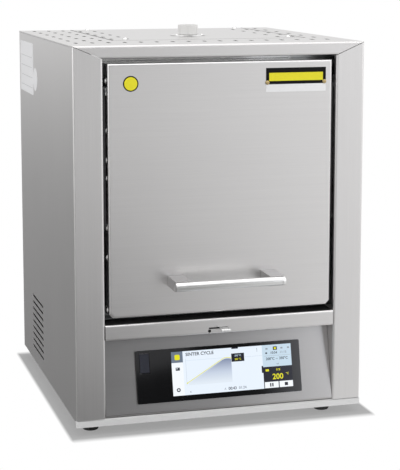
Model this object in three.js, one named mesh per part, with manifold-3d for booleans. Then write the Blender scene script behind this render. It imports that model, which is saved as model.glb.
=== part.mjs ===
// Bench-top dental sintering furnace with a parallel-lift door.
// Millimetres, +Z up, front towards -Y. The origin is on the bench, under the middle of the overall
// width and of the overall depth, handle and rear socket included.
import * as THREE from 'three';
import { mergeVertices } from 'three/addons/utils/BufferGeometryUtils.js';
import Module from 'manifold-3d';

const wasm = await Module();
wasm.setup();

// Common values
const sheet = 1.5; // stainless sheet of the housing
const bendRadius = 1.4; // inside radius of a folded edge
const seatGap = 0.3; // clearance between pieces that touch
const overrun = 3; // how far a cutter runs past the face it cuts
const arcFacets = 4; // facets in a quarter of a small arc
const roundFacets = 20; // facets round a pin or a small tube

// Chamber, its walls, and the housing round them: the width, the depth and the height follow the chamber
const chamberHalf = 65;
const chamberDepth = 150;
const wallThickness = 72;
const insulationHalf = chamberHalf + wallThickness;
const collarDepth = 46;
const doorDepth = 44;
const doorToPlate = 6; // from the back of the door to the front plate
const ledgeTop = 150.5;
const deckTop = ledgeTop + seatGap + sheet;
const insulationLift = 15.7; // above the deck
const sideSpace = 67; // insulation to the outside of the housing
const headSpace = 83;
const rearSpace = 106.6;
const chamberHeightAt = deckTop + insulationLift + insulationHalf; // middle of the chamber above the bench
const doorToBoards = doorToPlate + sheet + seatGap + collarDepth + seatGap;
const bodyWidth = 2 * (insulationHalf + sideSpace);
const bodyDepth = doorDepth + doorToBoards + chamberDepth + seatGap + wallThickness + rearSpace;
const bodyTop = chamberHeightAt + insulationHalf + headSpace;

// What stands out of the housing at the front and the back, and the planes that follow
const handleRadius = 5.9;
const handleStandoff = 41.5; // door face to the middle of the bar
const inletFlange = 3;
const handleReach = handleStandoff + handleRadius;
const inletReach = inletFlange - sheet;
const halfWidth = bodyWidth / 2;
const frontY = (handleReach - bodyDepth - inletReach) / 2;
const rearY = frontY + bodyDepth;

// Feet and base tray
const footHeight = 11.7;
const footRadius = 11;
const footTaper = 1.6;
const footRecessRadius = 3.6;
const footRecessDepth = 5;
const footInsetLeft = 26;
const footInsetRight = 46;
const footInsetDepth = 31;
const trayHeight = 9.5;
const trayWall = 2;
const trayCornerRadius = 3;
const trayInset = 12; // pan set in under the side panels
const traySeam = 1; // dark line over the front lip
const trayBottom = footHeight + seatGap;
const trayTop = trayBottom + trayHeight;
const trayFloorTop = trayBottom + trayWall;
const traySlotCount = 6;
const traySlotLength = 60;
const traySlotWidth = 6;
const traySlotPitch = 16;

// Side panels, each folded forward into a front stile
const shellBottom = trayTop + seatGap;
const stileWidth = 41;
const doorwayHalf = halfWidth - stileWidth;
const stileReturn = 7.5; // depth of the return beside the door
const lowerReturn = 30; // depth of the return beside the control panel
const rearFlange = 15;
const railHeight = 17.5; // front of the top cover
const railBottom = bodyTop - railHeight;
const mitreGap = 0.8;
const sideTop = bodyTop - sheet - seatGap;
const louvreCount = 9;
const louvrePitch = 10;
const louvreLength = 92;
const louvreHeight = 3.4;
const louvreFrontInset = 245; // front plane to the louvres
const louvreFirst = 42;

// Top cover and its removable lid
const coverDrop = 12; // rear edge, folded down
const lidMarginLeft = 79.5;
const lidMarginRight = 43.5;
const lidLeft = -halfWidth + lidMarginLeft;
const lidRight = halfWidth - lidMarginRight;
const lidSetback = 113.5;
const lidFront = frontY + lidSetback;
const lidSeam = 1.9;
const lidLap = 4.5; // support strip under the edge of the lid
const lidSheet = sheet - seatGap;
const ventPitch = 22.5;
const ventSideInset = 19;
const ventFrontInset = 68.5;
const ventRowPitch = 54.5;
const ventWidth = 4.8;
const ventLength = 17;
const ventClear = 2; // least sheet between a vent and an edge
const lidVentColumns = 2; // vented columns along each side of the lid

// Ledge under the door and the sloped control panel below it
const ledgeHeight = 21.5;
const ledgeBottom = ledgeTop - ledgeHeight;
const ledgeDepth = 46;
const ledgeLip = 12;
const ledgeHalf = doorwayHalf - seatGap;
const ledgeSlotCount = 9;
const ledgeSlotPitch = 32;
const ledgeSlotLength = 22;
const ledgeSlotWidth = 5;
const ledgeSlotInset = 24;
const panelSetback = 24; // how far the panel leans back
const panelTop = 126.5;
const panelBase = frontY + seatGap;
const panelFlange = 14;
const panelSlope = Math.atan2(panelSetback, panelTop - shellBottom);

// Air slider behind the ledge, worked by a bent tongue
const sliderTravel = 14;
const tongueWidth = 13;
const tongueRight = 9;
const tongueThickness = 1.4;
const tongueReach = 13.5;
const tongueNeckDrop = 13.5; // below the top of the ledge
const tongueLip = 4; // turned-down tip
const tongueHoleRadius = 0.7;
const sliderSlotHeight = 2.2;
const sliderPlateWidth = 44;
const sliderHoleRadius = 2.3;
const sliderHoleDrop = 17.3;
const sliderHoleX = -17.4;

// Display, in the plane of the sloped panel: x, height along the slope, depth behind it
const glassHalf = 118;
const glassBottom = 15.5;
const glassHeight = 72;
const glassThickness = 2.6;
const moduleMargin = 9;
const moduleDepth = 32;
const flapInset = 5.5; // from the left edge of the glass
const flapLeft = flapInset - glassHalf;
const flapWidth = 13;
const flapBottom = 58;
const flapHeight = 25;
const flapThickness = 2;
const flapGap = 0.6;
const socketWidth = 5;
const socketHeight = 13.5;
const socketDepth = 12;

// Lift door
const doorSideGap = 6;
const doorTopGap = 6.2;
const doorFootGap = 9.2;
const doorHalf = doorwayHalf - doorSideGap;
const doorTop = railBottom - doorTopGap;
const doorBottom = ledgeTop + doorFootGap;
const doorBackY = frontY + doorDepth;
const doorEdgeRadius = 3;
const doorCornerCut = 5; // small cut across the lower corners
const panFlange = 10;

// Front plate, collar and boards
const mouthFlare = 9; // the mouth is wider than the chamber by this on each side
const mouthHalf = chamberHalf + mouthFlare;
const mouthTaper = 8;
const plateFront = doorBackY + doorToPlate;
const plateBack = plateFront + sheet;
const collarFront = plateBack + seatGap;
const collarBack = collarFront + collarDepth;
const boardFront = collarBack + seatGap;
const boardBack = boardFront + chamberDepth;
const backBoardFront = boardBack + seatGap;
const backBoardBack = backBoardFront + wallThickness;
const insulationBottom = chamberHeightAt - insulationHalf;
const insulationTop = chamberHeightAt + insulationHalf;
const chamberBottom = chamberHeightAt - chamberHalf;
const chamberTop = chamberHeightAt + chamberHalf;
const casingHalf = insulationHalf + seatGap;

// Door plug
const plugStepWidth = 38;
const plugStepHalf = mouthHalf + plugStepWidth; // broad step that closes on the collar
const plugStepClear = 3;
const plugRootHalf = mouthHalf - 2;
const plugLength = 34;
const plugTaper = 9;
const plugInset = 9; // from the door skin to the front of the plug
const plugCornerRadius = 12;

// Door linkage: two upper and two lower arms, equal and parallel
const doorPivotRise = 8.3; // foot of the door to its lower pivots
const armWidth = 14;
const armThickness = 3;
const upperPivotDrop = 60; // top of the body to the upper housing pivots
const pivotSpacing = 115; // upper to lower housing pivots
const pivotStagger = 17; // lower pivots lie this far behind the upper ones
const pivotInset = 16; // front plane to the upper pivots
const pinRadius = 4;
const pinClear = 1; // round the pins where they pass the door skin
const pinHeadRadius = 6;
const pinHead = 0.8;
const boreClear = 0.3;
const armOuter = doorwayHalf - doorSideGap / 4;
const armInner = armOuter - armThickness;
const upperPivotZ = bodyTop - upperPivotDrop;
const lowerPivotZ = upperPivotZ - pivotSpacing;
const armLength = lowerPivotZ - doorBottom - doorPivotRise;
const upperPivotY = frontY + pivotInset;
const lowerPivotY = upperPivotY + pivotStagger;
const hingePlateThickness = 3;
const hingePlateMargin = 14;
const hingeFlange = 27;
const doorRailThickness = 3;
const doorRailHalf = 9;

// Handle
const handleLength = 153;
const handleZ = 207;
const handleCapLength = 5.5;
const handleCapGroove = 0.5;
const postWidth = 21;
const postHeight = 14;

// Deck between the control compartment and the chamber
const deckOverlap = 12; // front edge over the flange of the ledge
const deckFlange = 16;
const deckRailWidth = 22;
const deckRailAt = 85;

// Heating elements, hearth and thermocouple
const elementX = 50;
const elementInset = 18; // collar to the first leg
const elementGap = 26; // between the front and the rear element
const elementBackInset = 26; // last leg to the back board
const elementLegPitch = (chamberDepth - elementInset - elementGap - elementBackInset) / 2;
const elementPairPitch = elementLegPitch + elementGap;
const elementFirst = elementInset + elementLegPitch / 2; // collar to the middle of the first element
const hotRadius = 2.2;
const coldRadius = 4.5;
const elementTipClear = 22; // above the chamber floor
const elementTop = 36; // above the casing
const coldOverlap = 8; // thick end below the roof of the chamber
const elementBore = 5.2;
const elementSides = 8;
const holderWidth = 26;
const holderHeight = 16;
const hearthHalf = 40;
const hearthThickness = 9;
const hearthInset = 10;
const thermoRadius = 4;
const thermoHeadRadius = 13;
const thermoHeadLength = 18;
const thermoReach = 16; // into the chamber
const thermoDrop = 16; // below the roof of the chamber

// Flue
const flueX = 13;
const flueInset = 29.6; // from the back board
const flueY = boardBack - flueInset;
const flueRadius = 14.5;
const flueBore = 11;
const flueRise = 16; // above the top cover
const flueFlangeRadius = 20;
const flueFlangeHeight = 5;
const flueCollarRadius = 26;
const flueCollarHeight = 2;
const flueFacets = 24;

// Rear panel and what it carries
const fanInset = 109; // from the right side
const fanX = halfWidth - fanInset;
const fanZ = 86;
const fanHalf = 46;
const fanDepth = 25;
const fanBore = 43;
const fanHub = 17;
const fanBladeCount = 7;
const bladeTipClear = 1.6;
const bladeThickness = 1.6;
const bladeAngles = [0.42, 0.3]; // half the angle that a blade spans at the root and at the tip, radians
const fanStrut = 4;
const guardHalf = 46;
const guardThickness = 1.2;
const guardRings = 3;
const guardRib = 2.4;
const rearSlotCount = 11;
const rearSlotPitch = 20;
const rearSlotHeight = 44;
const rearSlotWidth = 6;
const rearSlotDrop = 55; // top of the body to the middle of the slots
const rearSlotZ = bodyTop - rearSlotDrop;
const inletInset = 64; // from the left side
const inletX = inletInset - halfWidth;
const inletZ = 58;
const inletWidth = 50;
const inletHeight = 34;
const inletDepth = 24;
const inletWall = 4.5;
const inletPinWidth = 2;
const inletPinHeight = 7;
const inletPinPitch = 12;
const switchZ = 104;
const switchWidth = 24;
const switchHeight = 30;
const switchDepth = 22;
const switchBezel = 2.5;
const rockerTilt = 8; // degrees to each side
const rockerWall = 2;

// Electrical pieces on the tray
const coreWidth = 126;
const coreHeight = 104;
const coreDepth = 56;
const coreLimb = 42;
const coreYoke = 21;
const coilSide = 17;
const coilBulge = 19;
const transformerInset = 116; // from the right side
const transformerX = halfWidth - transformerInset;
const transformerSetback = 143.5;
const transformerY = frontY + transformerSetback;
const sinkWidth = 96;
const sinkLength = 110;
const sinkBase = 9;
const sinkHeight = 58;
const sinkFins = 9;
const sinkFin = 2.6;
const sinkInset = 78; // from the left side
const sinkX = sinkInset - halfWidth;
const sinkSetback = 289.5;
const sinkY = frontY + sinkSetback;
const blockLength = 96;
const blockDepth = 34;
const blockHeight = 38;
const blockWays = 8;
const blockCut = 6;
const blockInset = 84; // from the left side
const blockX = blockInset - halfWidth;
const blockSetback = 143.5;
const blockY = frontY + blockSetback;

// Finishes
const steel = { color: 0xc4c3c2, roughness: 0.36, metalness: 0.9 };
const polished = { color: 0xd8d8d8, roughness: 0.2, metalness: 1 };
const zinc = { color: 0xa9adb0, roughness: 0.45, metalness: 0.9 };
const fibre = { color: 0xf1ece0, roughness: 0.95, metalness: 0 };
const alumina = { color: 0xf3f1ea, roughness: 0.55, metalness: 0 };
const blackGlass = { color: 0x08090c, roughness: 0.08, metalness: 0 };
const darkPlastic = { color: 0x17181b, roughness: 0.6, metalness: 0 };
const navyPlastic = { color: 0x141a2a, roughness: 0.5, metalness: 0 };
const rubber = { color: 0x121212, roughness: 0.9, metalness: 0 };
const element = { color: 0x5d5853, roughness: 0.6, metalness: 0.6 };
const laminate = { color: 0x4a4d50, roughness: 0.6, metalness: 0.6 };
const copper = { color: 0x9a5a34, roughness: 0.45, metalness: 0.6 };
const greyPlastic = { color: 0x9aa0a3, roughness: 0.6, metalness: 0 };

const furnace = new THREE.Group();
const slope = new THREE.Group(); // plane of the control panel
slope.position.set(0, panelBase, shellBottom);
slope.rotation.x = -panelSlope;
furnace.add(slope);

function add(name, solid, finish, parent = furnace) {
  const mesh = new THREE.Mesh(toGeometry(solid), new THREE.MeshStandardMaterial(finish));
  mesh.name = name;
  parent.add(mesh);
  return mesh;
}

// Solids for cutting and joining

function toSolid(geometry) {
  const bare = geometry.clone();
  bare.deleteAttribute('normal');
  bare.deleteAttribute('uv');
  const merged = mergeVertices(bare);
  return new wasm.Manifold(new wasm.Mesh({
    numProp: 3,
    vertProperties: new Float32Array(merged.attributes.position.array),
    triVerts: new Uint32Array(merged.index.array),
  }));
}

function toGeometry(solid) {
  const mesh = solid.getMesh();
  const geometry = new THREE.BufferGeometry();
  geometry.setAttribute('position', new THREE.BufferAttribute(new Float32Array(mesh.vertProperties), 3));
  geometry.setIndex(new THREE.BufferAttribute(new Uint32Array(mesh.triVerts), 1));
  geometry.computeVertexNormals();
  return geometry;
}

const join = (...solids) => solids.flat().reduce((whole, solid) => whole.add(solid));
const cut = (solid, ...cutters) => cutters.flat().reduce((whole, cutter) => whole.subtract(cutter), solid);

function box(x0, x1, y0, y1, z0, z1) {
  const geometry = new THREE.BoxGeometry(x1 - x0, y1 - y0, z1 - z0);
  geometry.translate((x0 + x1) / 2, (y0 + y1) / 2, (z0 + z1) / 2);
  return toSolid(geometry);
}

// A profile is drawn in the two axes that are not the extrusion's, in X, Y, Z order.
function extrude(shape, axis, from, to) {
  const geometry = new THREE.ExtrudeGeometry(shape, { depth: to - from, bevelEnabled: false });
  const turn = new THREE.Matrix4();
  if (axis === 'x') {
    turn.makeBasis(new THREE.Vector3(0, 1, 0), new THREE.Vector3(0, 0, 1), new THREE.Vector3(1, 0, 0));
    turn.setPosition(from, 0, 0);
  } else if (axis === 'y') {
    turn.makeBasis(new THREE.Vector3(1, 0, 0), new THREE.Vector3(0, 0, 1), new THREE.Vector3(0, -1, 0));
    turn.setPosition(0, to, 0);
  } else {
    turn.setPosition(0, 0, from);
  }
  geometry.applyMatrix4(turn);
  return toSolid(geometry);
}

// A profile of [radius, height] pairs turned round an axis through the given point.
function revolve(profile, axis, centre, facets = roundFacets) {
  const points = profile.map(([radius, height]) => new THREE.Vector2(radius, height));
  const geometry = new THREE.LatheGeometry(points, facets);
  if (axis === 'x') geometry.rotateZ(-Math.PI / 2);
  if (axis === 'z') geometry.rotateX(Math.PI / 2);
  geometry.translate(...centre);
  const solid = toSolid(geometry);
  return solid.volume() < 0 ? toSolid(flipped(geometry)) : solid;
}

function flipped(geometry) {
  const index = Array.from(geometry.index.array);
  for (let i = 0; i < index.length; i += 3) [index[i], index[i + 2]] = [index[i + 2], index[i]];
  const copy = geometry.clone();
  copy.setIndex(index);
  return copy;
}

function rod(axis, radius, from, to, centre, facets = roundFacets) {
  return revolve([[0, from], [radius, from], [radius, to], [0, to]], axis, centre, facets);
}

// A body lofted through rings with the same number of points, closed with a fan at each end.
function loft(rings) {
  const count = rings[0].length;
  const positions = rings.flat().flatMap((point) => [point.x, point.y, point.z]);
  const index = [];
  for (let r = 0; r < rings.length - 1; r++) {
    for (let i = 0; i < count; i++) {
      const a = r * count + i;
      const b = r * count + ((i + 1) % count);
      index.push(a, b, b + count, a, b + count, a + count);
    }
  }
  for (let i = 1; i < count - 1; i++) {
    index.push(0, i + 1, i);
    const last = (rings.length - 1) * count;
    index.push(last, last + i, last + i + 1);
  }
  const geometry = new THREE.BufferGeometry();
  geometry.setAttribute('position', new THREE.Float32BufferAttribute(positions, 3));
  geometry.setIndex(index);
  const solid = toSolid(geometry);
  return solid.volume() < 0 ? toSolid(flipped(geometry)) : solid;
}

// Outlines

const polygon = (pairs) => new THREE.Shape(pairs.map(([a, b]) => new THREE.Vector2(a, b)));

function roundedBox(a0, a1, b0, b1, radius) {
  const shape = new THREE.Shape();
  const corners = [[a1 - radius, b0 + radius, -0.5], [a1 - radius, b1 - radius, 0],
    [a0 + radius, b1 - radius, 0.5], [a0 + radius, b0 + radius, 1]];
  const points = corners.flatMap(([a, b, start]) => arcPoints(a, b, radius, start * Math.PI, Math.PI / 2));
  return shape.setFromPoints(points);
}

function arcPoints(a, b, radius, start, sweep, facets = arcFacets) {
  return Array.from({ length: facets + 1 }, (_, i) => {
    const angle = start + (sweep * i) / facets;
    return new THREE.Vector2(a + radius * Math.cos(angle), b + radius * Math.sin(angle));
  });
}

// A slot with round ends, long in the first or the second drawn axis.
function slotShape(a, b, length, width, alongFirst, endFacets = 3) {
  const reach = (length - width) / 2;
  const start = alongFirst ? -Math.PI / 2 : 0;
  const da = alongFirst ? reach : 0;
  const db = alongFirst ? 0 : reach;
  const near = arcPoints(a + da, b + db, width / 2, start, Math.PI, endFacets);
  const far = arcPoints(a - da, b - db, width / 2, start + Math.PI, Math.PI, endFacets);
  return new THREE.Shape().setFromPoints([...near, ...far]);
}

// Constant-thickness section of a folded sheet. The line is its outer face and the metal lies to the
// right of it, with an arc at each fold.
function foldedSheet(pairs, thickness, innerRadius) {
  const line = pairs.map(([a, b]) => new THREE.Vector2(a, b));
  const ahead = line.slice(1).map((point, i) => point.clone().sub(line[i]).normalize());
  const rightOf = ahead.map((d) => new THREE.Vector2(d.y, -d.x));
  const inner = line.map((point, i) => {
    const first = rightOf[Math.max(i - 1, 0)];
    const second = rightOf[Math.min(i, rightOf.length - 1)];
    const mitre = first.clone().add(second).multiplyScalar(thickness / (1 + first.dot(second)));
    return point.clone().add(mitre);
  });
  const turnsRight = line.map((_, i) => i > 0 && i < ahead.length && ahead[i - 1].cross(ahead[i]) < 0);
  const outerRadii = turnsRight.map((right) => innerRadius + (right ? thickness : 0));
  const innerRadii = turnsRight.map((right) => innerRadius + (right ? 0 : thickness));
  const outline = [...roundFolds(line, outerRadii), ...roundFolds(inner, innerRadii).reverse()];
  return new THREE.Shape().setFromPoints(outline);
}

function roundFolds(line, radii) {
  return line.flatMap((point, i) => {
    if (i === 0 || i === line.length - 1) return [point];
    const back = line[i - 1].clone().sub(point).normalize();
    const on = line[i + 1].clone().sub(point).normalize();
    const half = Math.acos(THREE.MathUtils.clamp(back.dot(on), -1, 1)) / 2;
    const inward = back.clone().add(on).normalize();
    const centre = point.clone().addScaledVector(inward, radii[i] / Math.sin(half));
    const start = point.clone().addScaledVector(back, radii[i] / Math.tan(half)).sub(centre);
    const sweep = (Math.PI - 2 * half) * Math.sign(back.cross(on)) * -1;
    return arcPoints(centre.x, centre.y, radii[i], start.angle(), sweep);
  });
}

const mirrorX = (solid) => toSolid(flipped(toGeometry(solid).scale(-1, 1, 1)));
const onSide = (side, solid) => (side < 0 ? mirrorX(solid) : solid);
const spread = (count, pitch) => Array.from({ length: count }, (_, i) => (i - (count - 1) / 2) * pitch);

// Housing

function makeFeet() {
  const profile = [[0, footRecessDepth], [footRecessRadius, footRecessDepth], [footRecessRadius, 0],
    [footRadius - footTaper, 0], [footRadius, footTaper], [footRadius, footHeight], [0, footHeight]];
  const places = {
    foot_front_left: [-halfWidth + footInsetLeft, frontY + footInsetDepth],
    foot_front_right: [halfWidth - footInsetRight, frontY + footInsetDepth],
    foot_rear_left: [-halfWidth + footInsetLeft, rearY - footInsetDepth],
    foot_rear_right: [halfWidth - footInsetRight, rearY - footInsetDepth],
  };
  for (const [name, [x, y]] of Object.entries(places)) {
    add(name, revolve(profile, 'z', [x, y, 0]), rubber);
  }
}

// Folded tray: a pan set in under the housing, the flange round it that carries the side panels, and the
// full-width lip that shows at the front.
function makeBaseTray() {
  const panHalf = halfWidth - trayInset;
  const panBack = rearY - trayInset;
  const rim = roundedBox(-halfWidth, halfWidth, frontY, rearY, trayCornerRadius);
  const pan = roundedBox(-panHalf, panHalf, frontY, panBack, trayCornerRadius);
  const pocket = roundedBox(-panHalf + trayWall, panHalf - trayWall, frontY + 2 * trayWall,
    panBack - trayWall, trayCornerRadius - trayWall / 2);
  const lip = box(-halfWidth, halfWidth, frontY, frontY + trayWall, trayBottom, trayTop);
  const seam = box(-halfWidth - overrun, halfWidth + overrun, frontY - overrun, frontY + trayWall,
    trayTop - traySeam, trayTop + overrun);
  const slots = spread(traySlotCount, traySlotPitch).map((y) => {
    const shape = slotShape(0, y, traySlotLength, traySlotWidth, true);
    return extrude(shape, 'z', trayBottom - overrun, trayTop + overrun);
  });
  const flange = extrude(rim, 'z', trayTop - trayWall, trayTop);
  const folded = join(flange, extrude(pan, 'z', trayBottom, trayTop), lip);
  const tray = cut(folded, extrude(pocket, 'z', trayFloorTop, trayTop + overrun), seam, slots);
  add('base_tray', tray, polished);
}

// Mitre between the front of the top cover and a stile, on the side given by its sign. The cutter
// removes what lies above the mitre (over = true) or below it.
function mitreCutter(side, over, y0, y1) {
  const slant = new THREE.Vector2(stileWidth, railHeight);
  const away = slant.clone().normalize().multiplyScalar(overrun + stileWidth / 2);
  const low = [doorwayHalf - away.x, railBottom - away.y];
  const high = [halfWidth + away.x, bodyTop + away.y];
  const drop = over ? -mitreGap : 0;
  const corner = over ? [low[0], high[1]] : [high[0], low[1]];
  const shape = polygon([[low[0], low[1] + drop], [high[0], high[1] + drop], corner]);
  return onSide(side, extrude(shape, 'y', y0, y1));
}

function makeSidePanels() {
  const line = [[halfWidth - rearFlange, rearY], [halfWidth, rearY], [halfWidth, frontY],
    [doorwayHalf, frontY], [doorwayHalf, frontY + lowerReturn]];
  const profile = foldedSheet(line, sheet, bendRadius);
  const sideY = frontY + louvreFrontInset + louvreLength / 2;
  const louvres = Array.from({ length: louvreCount }, (_, i) => {
    const shape = slotShape(sideY, louvreFirst + i * louvrePitch, louvreLength, louvreHeight, true, 2);
    return extrude(shape, 'x', halfWidth - sheet - overrun, halfWidth + overrun);
  });
  const stileTop = extrude(profile, 'z', shellBottom, bodyTop);
  const clearTop = box(doorwayHalf - overrun, halfWidth + overrun,
    frontY + bendRadius + sheet, rearY + overrun, sideTop, bodyTop + overrun);
  const upperReturn = box(doorwayHalf - overrun, halfWidth - stileWidth / 2, frontY + stileReturn,
    frontY + lowerReturn + overrun, ledgeTop, bodyTop + overrun);
  const mitre = mitreCutter(1, true, frontY - overrun, frontY + bendRadius + sheet);
  const lipSeat = box(doorwayHalf - overrun, halfWidth - stileWidth / 2, frontY + sheet,
    frontY + stileReturn + overrun, railBottom - seatGap, bodyTop + overrun);
  const panel = cut(stileTop, clearTop, upperReturn, mitre, louvres, lipSeat);
  add('right_side_panel', panel, steel);
  add('left_side_panel', mirrorX(panel), steel);
}

function ventSlot(x, y) {
  const shape = slotShape(x, y, ventLength, ventWidth, false);
  return extrude(shape, 'z', bodyTop - sheet * 2 - overrun, bodyTop + overrun);
}

function ventColumns() {
  const count = Math.floor((bodyWidth - 2 * ventSideInset) / ventPitch) + 1;
  return Array.from({ length: count }, (_, i) => -halfWidth + ventSideInset + i * ventPitch);
}

function ventRows(first) {
  const last = rearY - coverDrop - ventLength / 2;
  const count = Math.floor((last - first) / ventRowPitch) + 1;
  return Array.from({ length: count }, (_, i) => first + i * ventRowPitch);
}

function makeTopCover() {
  const line = [[frontY + stileReturn, railBottom], [frontY, railBottom], [frontY, bodyTop],
    [rearY, bodyTop], [rearY, bodyTop - coverDrop]];
  const folded = extrude(foldedSheet(line, sheet, bendRadius), 'x', -halfWidth, halfWidth);
  const opening = box(lidLeft, lidRight, lidFront, rearY + overrun,
    bodyTop - coverDrop - overrun, bodyTop + overrun);
  const stripBack = rearY - sheet - bendRadius - seatGap;
  const strip = cut(
    box(lidLeft - lidLap, lidRight + lidLap, lidFront - lidLap, stripBack,
      bodyTop - 2 * sheet, bodyTop - sheet),
    box(lidLeft + lidLap, lidRight - lidLap, lidFront + lidLap, rearY,
      bodyTop - 2 * sheet - overrun, bodyTop));
  const lipEnd = box(doorwayHalf - seatGap, halfWidth + overrun, frontY + sheet + bendRadius,
    frontY + stileReturn + overrun, railBottom - overrun, railBottom + bendRadius + 2 * sheet);
  const mitre = mitreCutter(1, false, frontY - overrun, frontY + sheet + bendRadius);
  const clearOfLid = (x, y) => y < lidFront - lidLap - ventLength / 2 - ventClear
    || x < lidLeft - lidLap - ventWidth / 2 - ventClear || x > lidRight + lidLap + ventWidth / 2 + ventClear;
  const vents = ventRows(frontY + ventFrontInset).flatMap((y) => ventColumns()
    .filter((x) => clearOfLid(x, y)).map((x) => ventSlot(x, y)));
  const dropEnd = box(halfWidth - rearFlange - seatGap, halfWidth + overrun, rearY - sheet - bendRadius,
    rearY + overrun, bodyTop - coverDrop - overrun, bodyTop - sheet);
  const ends = [mitre, lipEnd, dropEnd];
  const cover = cut(folded, opening, ends, ends.map(mirrorX), vents);
  add('top_cover', cover.add(strip), steel);
}

function makeTopLid() {
  const line = [[lidFront + lidSeam, bodyTop], [rearY, bodyTop], [rearY, bodyTop - coverDrop]];
  const section = foldedSheet(line, lidSheet, bendRadius);
  const folded = extrude(section, 'x', lidLeft + lidSeam, lidRight - lidSeam);
  const margin = lidLap + ventClear;
  const columns = ventColumns().filter((x) => x > lidLeft + margin && x < lidRight - margin);
  const outer = [...columns.slice(0, lidVentColumns), ...columns.slice(-lidVentColumns)];
  const firstRow = lidFront + lidLap + ventLength / 2 + ventRowPitch / 2 - ventClear;
  const vents = ventRows(firstRow).flatMap((y) => outer.map((x) => ventSlot(x, y)));
  const flueHole = rod('z', flueRadius + 1.5 * sheet, bodyTop - coverDrop, bodyTop + overrun,
    [flueX, flueY, 0]);
  add('top_lid', cut(folded, vents, flueHole), steel);
}

function makeRearPanel() {
  const y1 = rearY - sheet - seatGap;
  const y0 = y1 - sheet;
  const half = halfWidth - sheet - bendRadius;
  const plate = box(-half, half, y0, y1, shellBottom, bodyTop - 2 * sheet - seatGap);
  const through = (shape) => extrude(shape, 'y', y0 - overrun, y1 + overrun);
  const slots = spread(rearSlotCount, rearSlotPitch).map((x) => through(
    slotShape(x, rearSlotZ, rearSlotHeight, rearSlotWidth, false)));
  const fanHole = rod('y', fanBore, y0 - overrun, y1 + overrun, [fanX, 0, fanZ]);
  const inletHole = through(polygonBox(inletX, inletZ, inletWidth / 2 - inletWall + seatGap,
    inletHeight / 2 - inletWall + seatGap));
  const switchHole = through(polygonBox(inletX, switchZ, switchWidth / 2 - switchBezel + seatGap,
    switchHeight / 2 - switchBezel + seatGap));
  add('rear_panel', cut(plate, slots, fanHole, inletHole, switchHole), steel);
}

function polygonBox(a, b, halfA, halfB) {
  return polygon([[a - halfA, b - halfB], [a + halfA, b - halfB],
    [a + halfA, b + halfB], [a - halfA, b + halfB]]);
}

function makeLedge() {
  const line = [[frontY + ledgeLip, ledgeBottom], [frontY, ledgeBottom], [frontY, ledgeTop],
    [frontY + ledgeDepth, ledgeTop]];
  const channel = extrude(foldedSheet(line, sheet, bendRadius), 'x', -ledgeHalf, ledgeHalf);
  const slots = spread(ledgeSlotCount, ledgeSlotPitch).map((x) => extrude(
    slotShape(x, frontY + ledgeSlotInset, ledgeSlotLength, ledgeSlotWidth, true),
    'z', ledgeTop - sheet - overrun, ledgeTop + overrun));
  const slotZ = ledgeTop - tongueNeckDrop;
  const slotLeft = tongueRight - tongueWidth - sliderTravel - seatGap;
  const through = (shape) => extrude(shape, 'y', frontY - overrun, frontY + sheet + bendRadius);
  const slotRight = tongueRight + seatGap;
  const slot = through(polygonBox((slotLeft + slotRight) / 2, slotZ, (slotRight - slotLeft) / 2,
    sliderSlotHeight / 2));
  const hole = rod('y', sliderHoleRadius, frontY - overrun, frontY + sheet + bendRadius,
    [sliderHoleX, 0, ledgeTop - sliderHoleDrop], 12);
  add('ledge', cut(channel, slots, slot, hole), steel);
}

// Shutter plate behind the ledge and, through its slot, the flat tongue that works it, its tip turned down.
function makeAirSlider() {
  const plateY = frontY + sheet + seatGap;
  const neckZ = ledgeTop - tongueNeckDrop;
  const left = tongueRight - tongueWidth;
  const plateMiddle = left + tongueWidth / 2;
  const plate = box(plateMiddle - sliderPlateWidth / 2, plateMiddle + sliderPlateWidth / 2,
    plateY, plateY + sheet, ledgeBottom + sheet + bendRadius, ledgeTop - sheet - bendRadius);
  const tip = frontY - tongueReach;
  const top = neckZ + tongueThickness / 2;
  const line = [[tip, top - tongueLip], [tip, top], [plateY + sheet / 2, top]];
  const tongue = extrude(foldedSheet(line, tongueThickness, bendRadius), 'x', left, tongueRight);
  const holeZ = top - tongueLip + 2 * tongueHoleRadius;
  const holes = spread(2, tongueWidth / 3).map((x) => rod('y', tongueHoleRadius,
    tip - overrun, tip + overrun, [plateMiddle + x, 0, holeZ], elementSides));
  add('air_slider', cut(join(plate, tongue), holes), polished);
}

function makeControlPanel() {
  const topY = panelBase + panelSetback;
  const line = [[panelBase + panelFlange, shellBottom], [panelBase, shellBottom], [topY, panelTop],
    [topY + panelFlange, panelTop]];
  const folded = extrude(foldedSheet(line, sheet, bendRadius), 'x', -ledgeHalf, ledgeHalf);
  const half = glassHalf - moduleMargin + seatGap;
  const window = box(-half, half, -overrun, sheet + overrun, glassBottom + moduleMargin - seatGap,
    glassBottom + glassHeight - moduleMargin + seatGap);
  const placed = toGeometry(window).rotateX(-panelSlope).translate(0, panelBase, shellBottom);
  add('control_panel', cut(folded, toSolid(placed)), steel);
}

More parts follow.
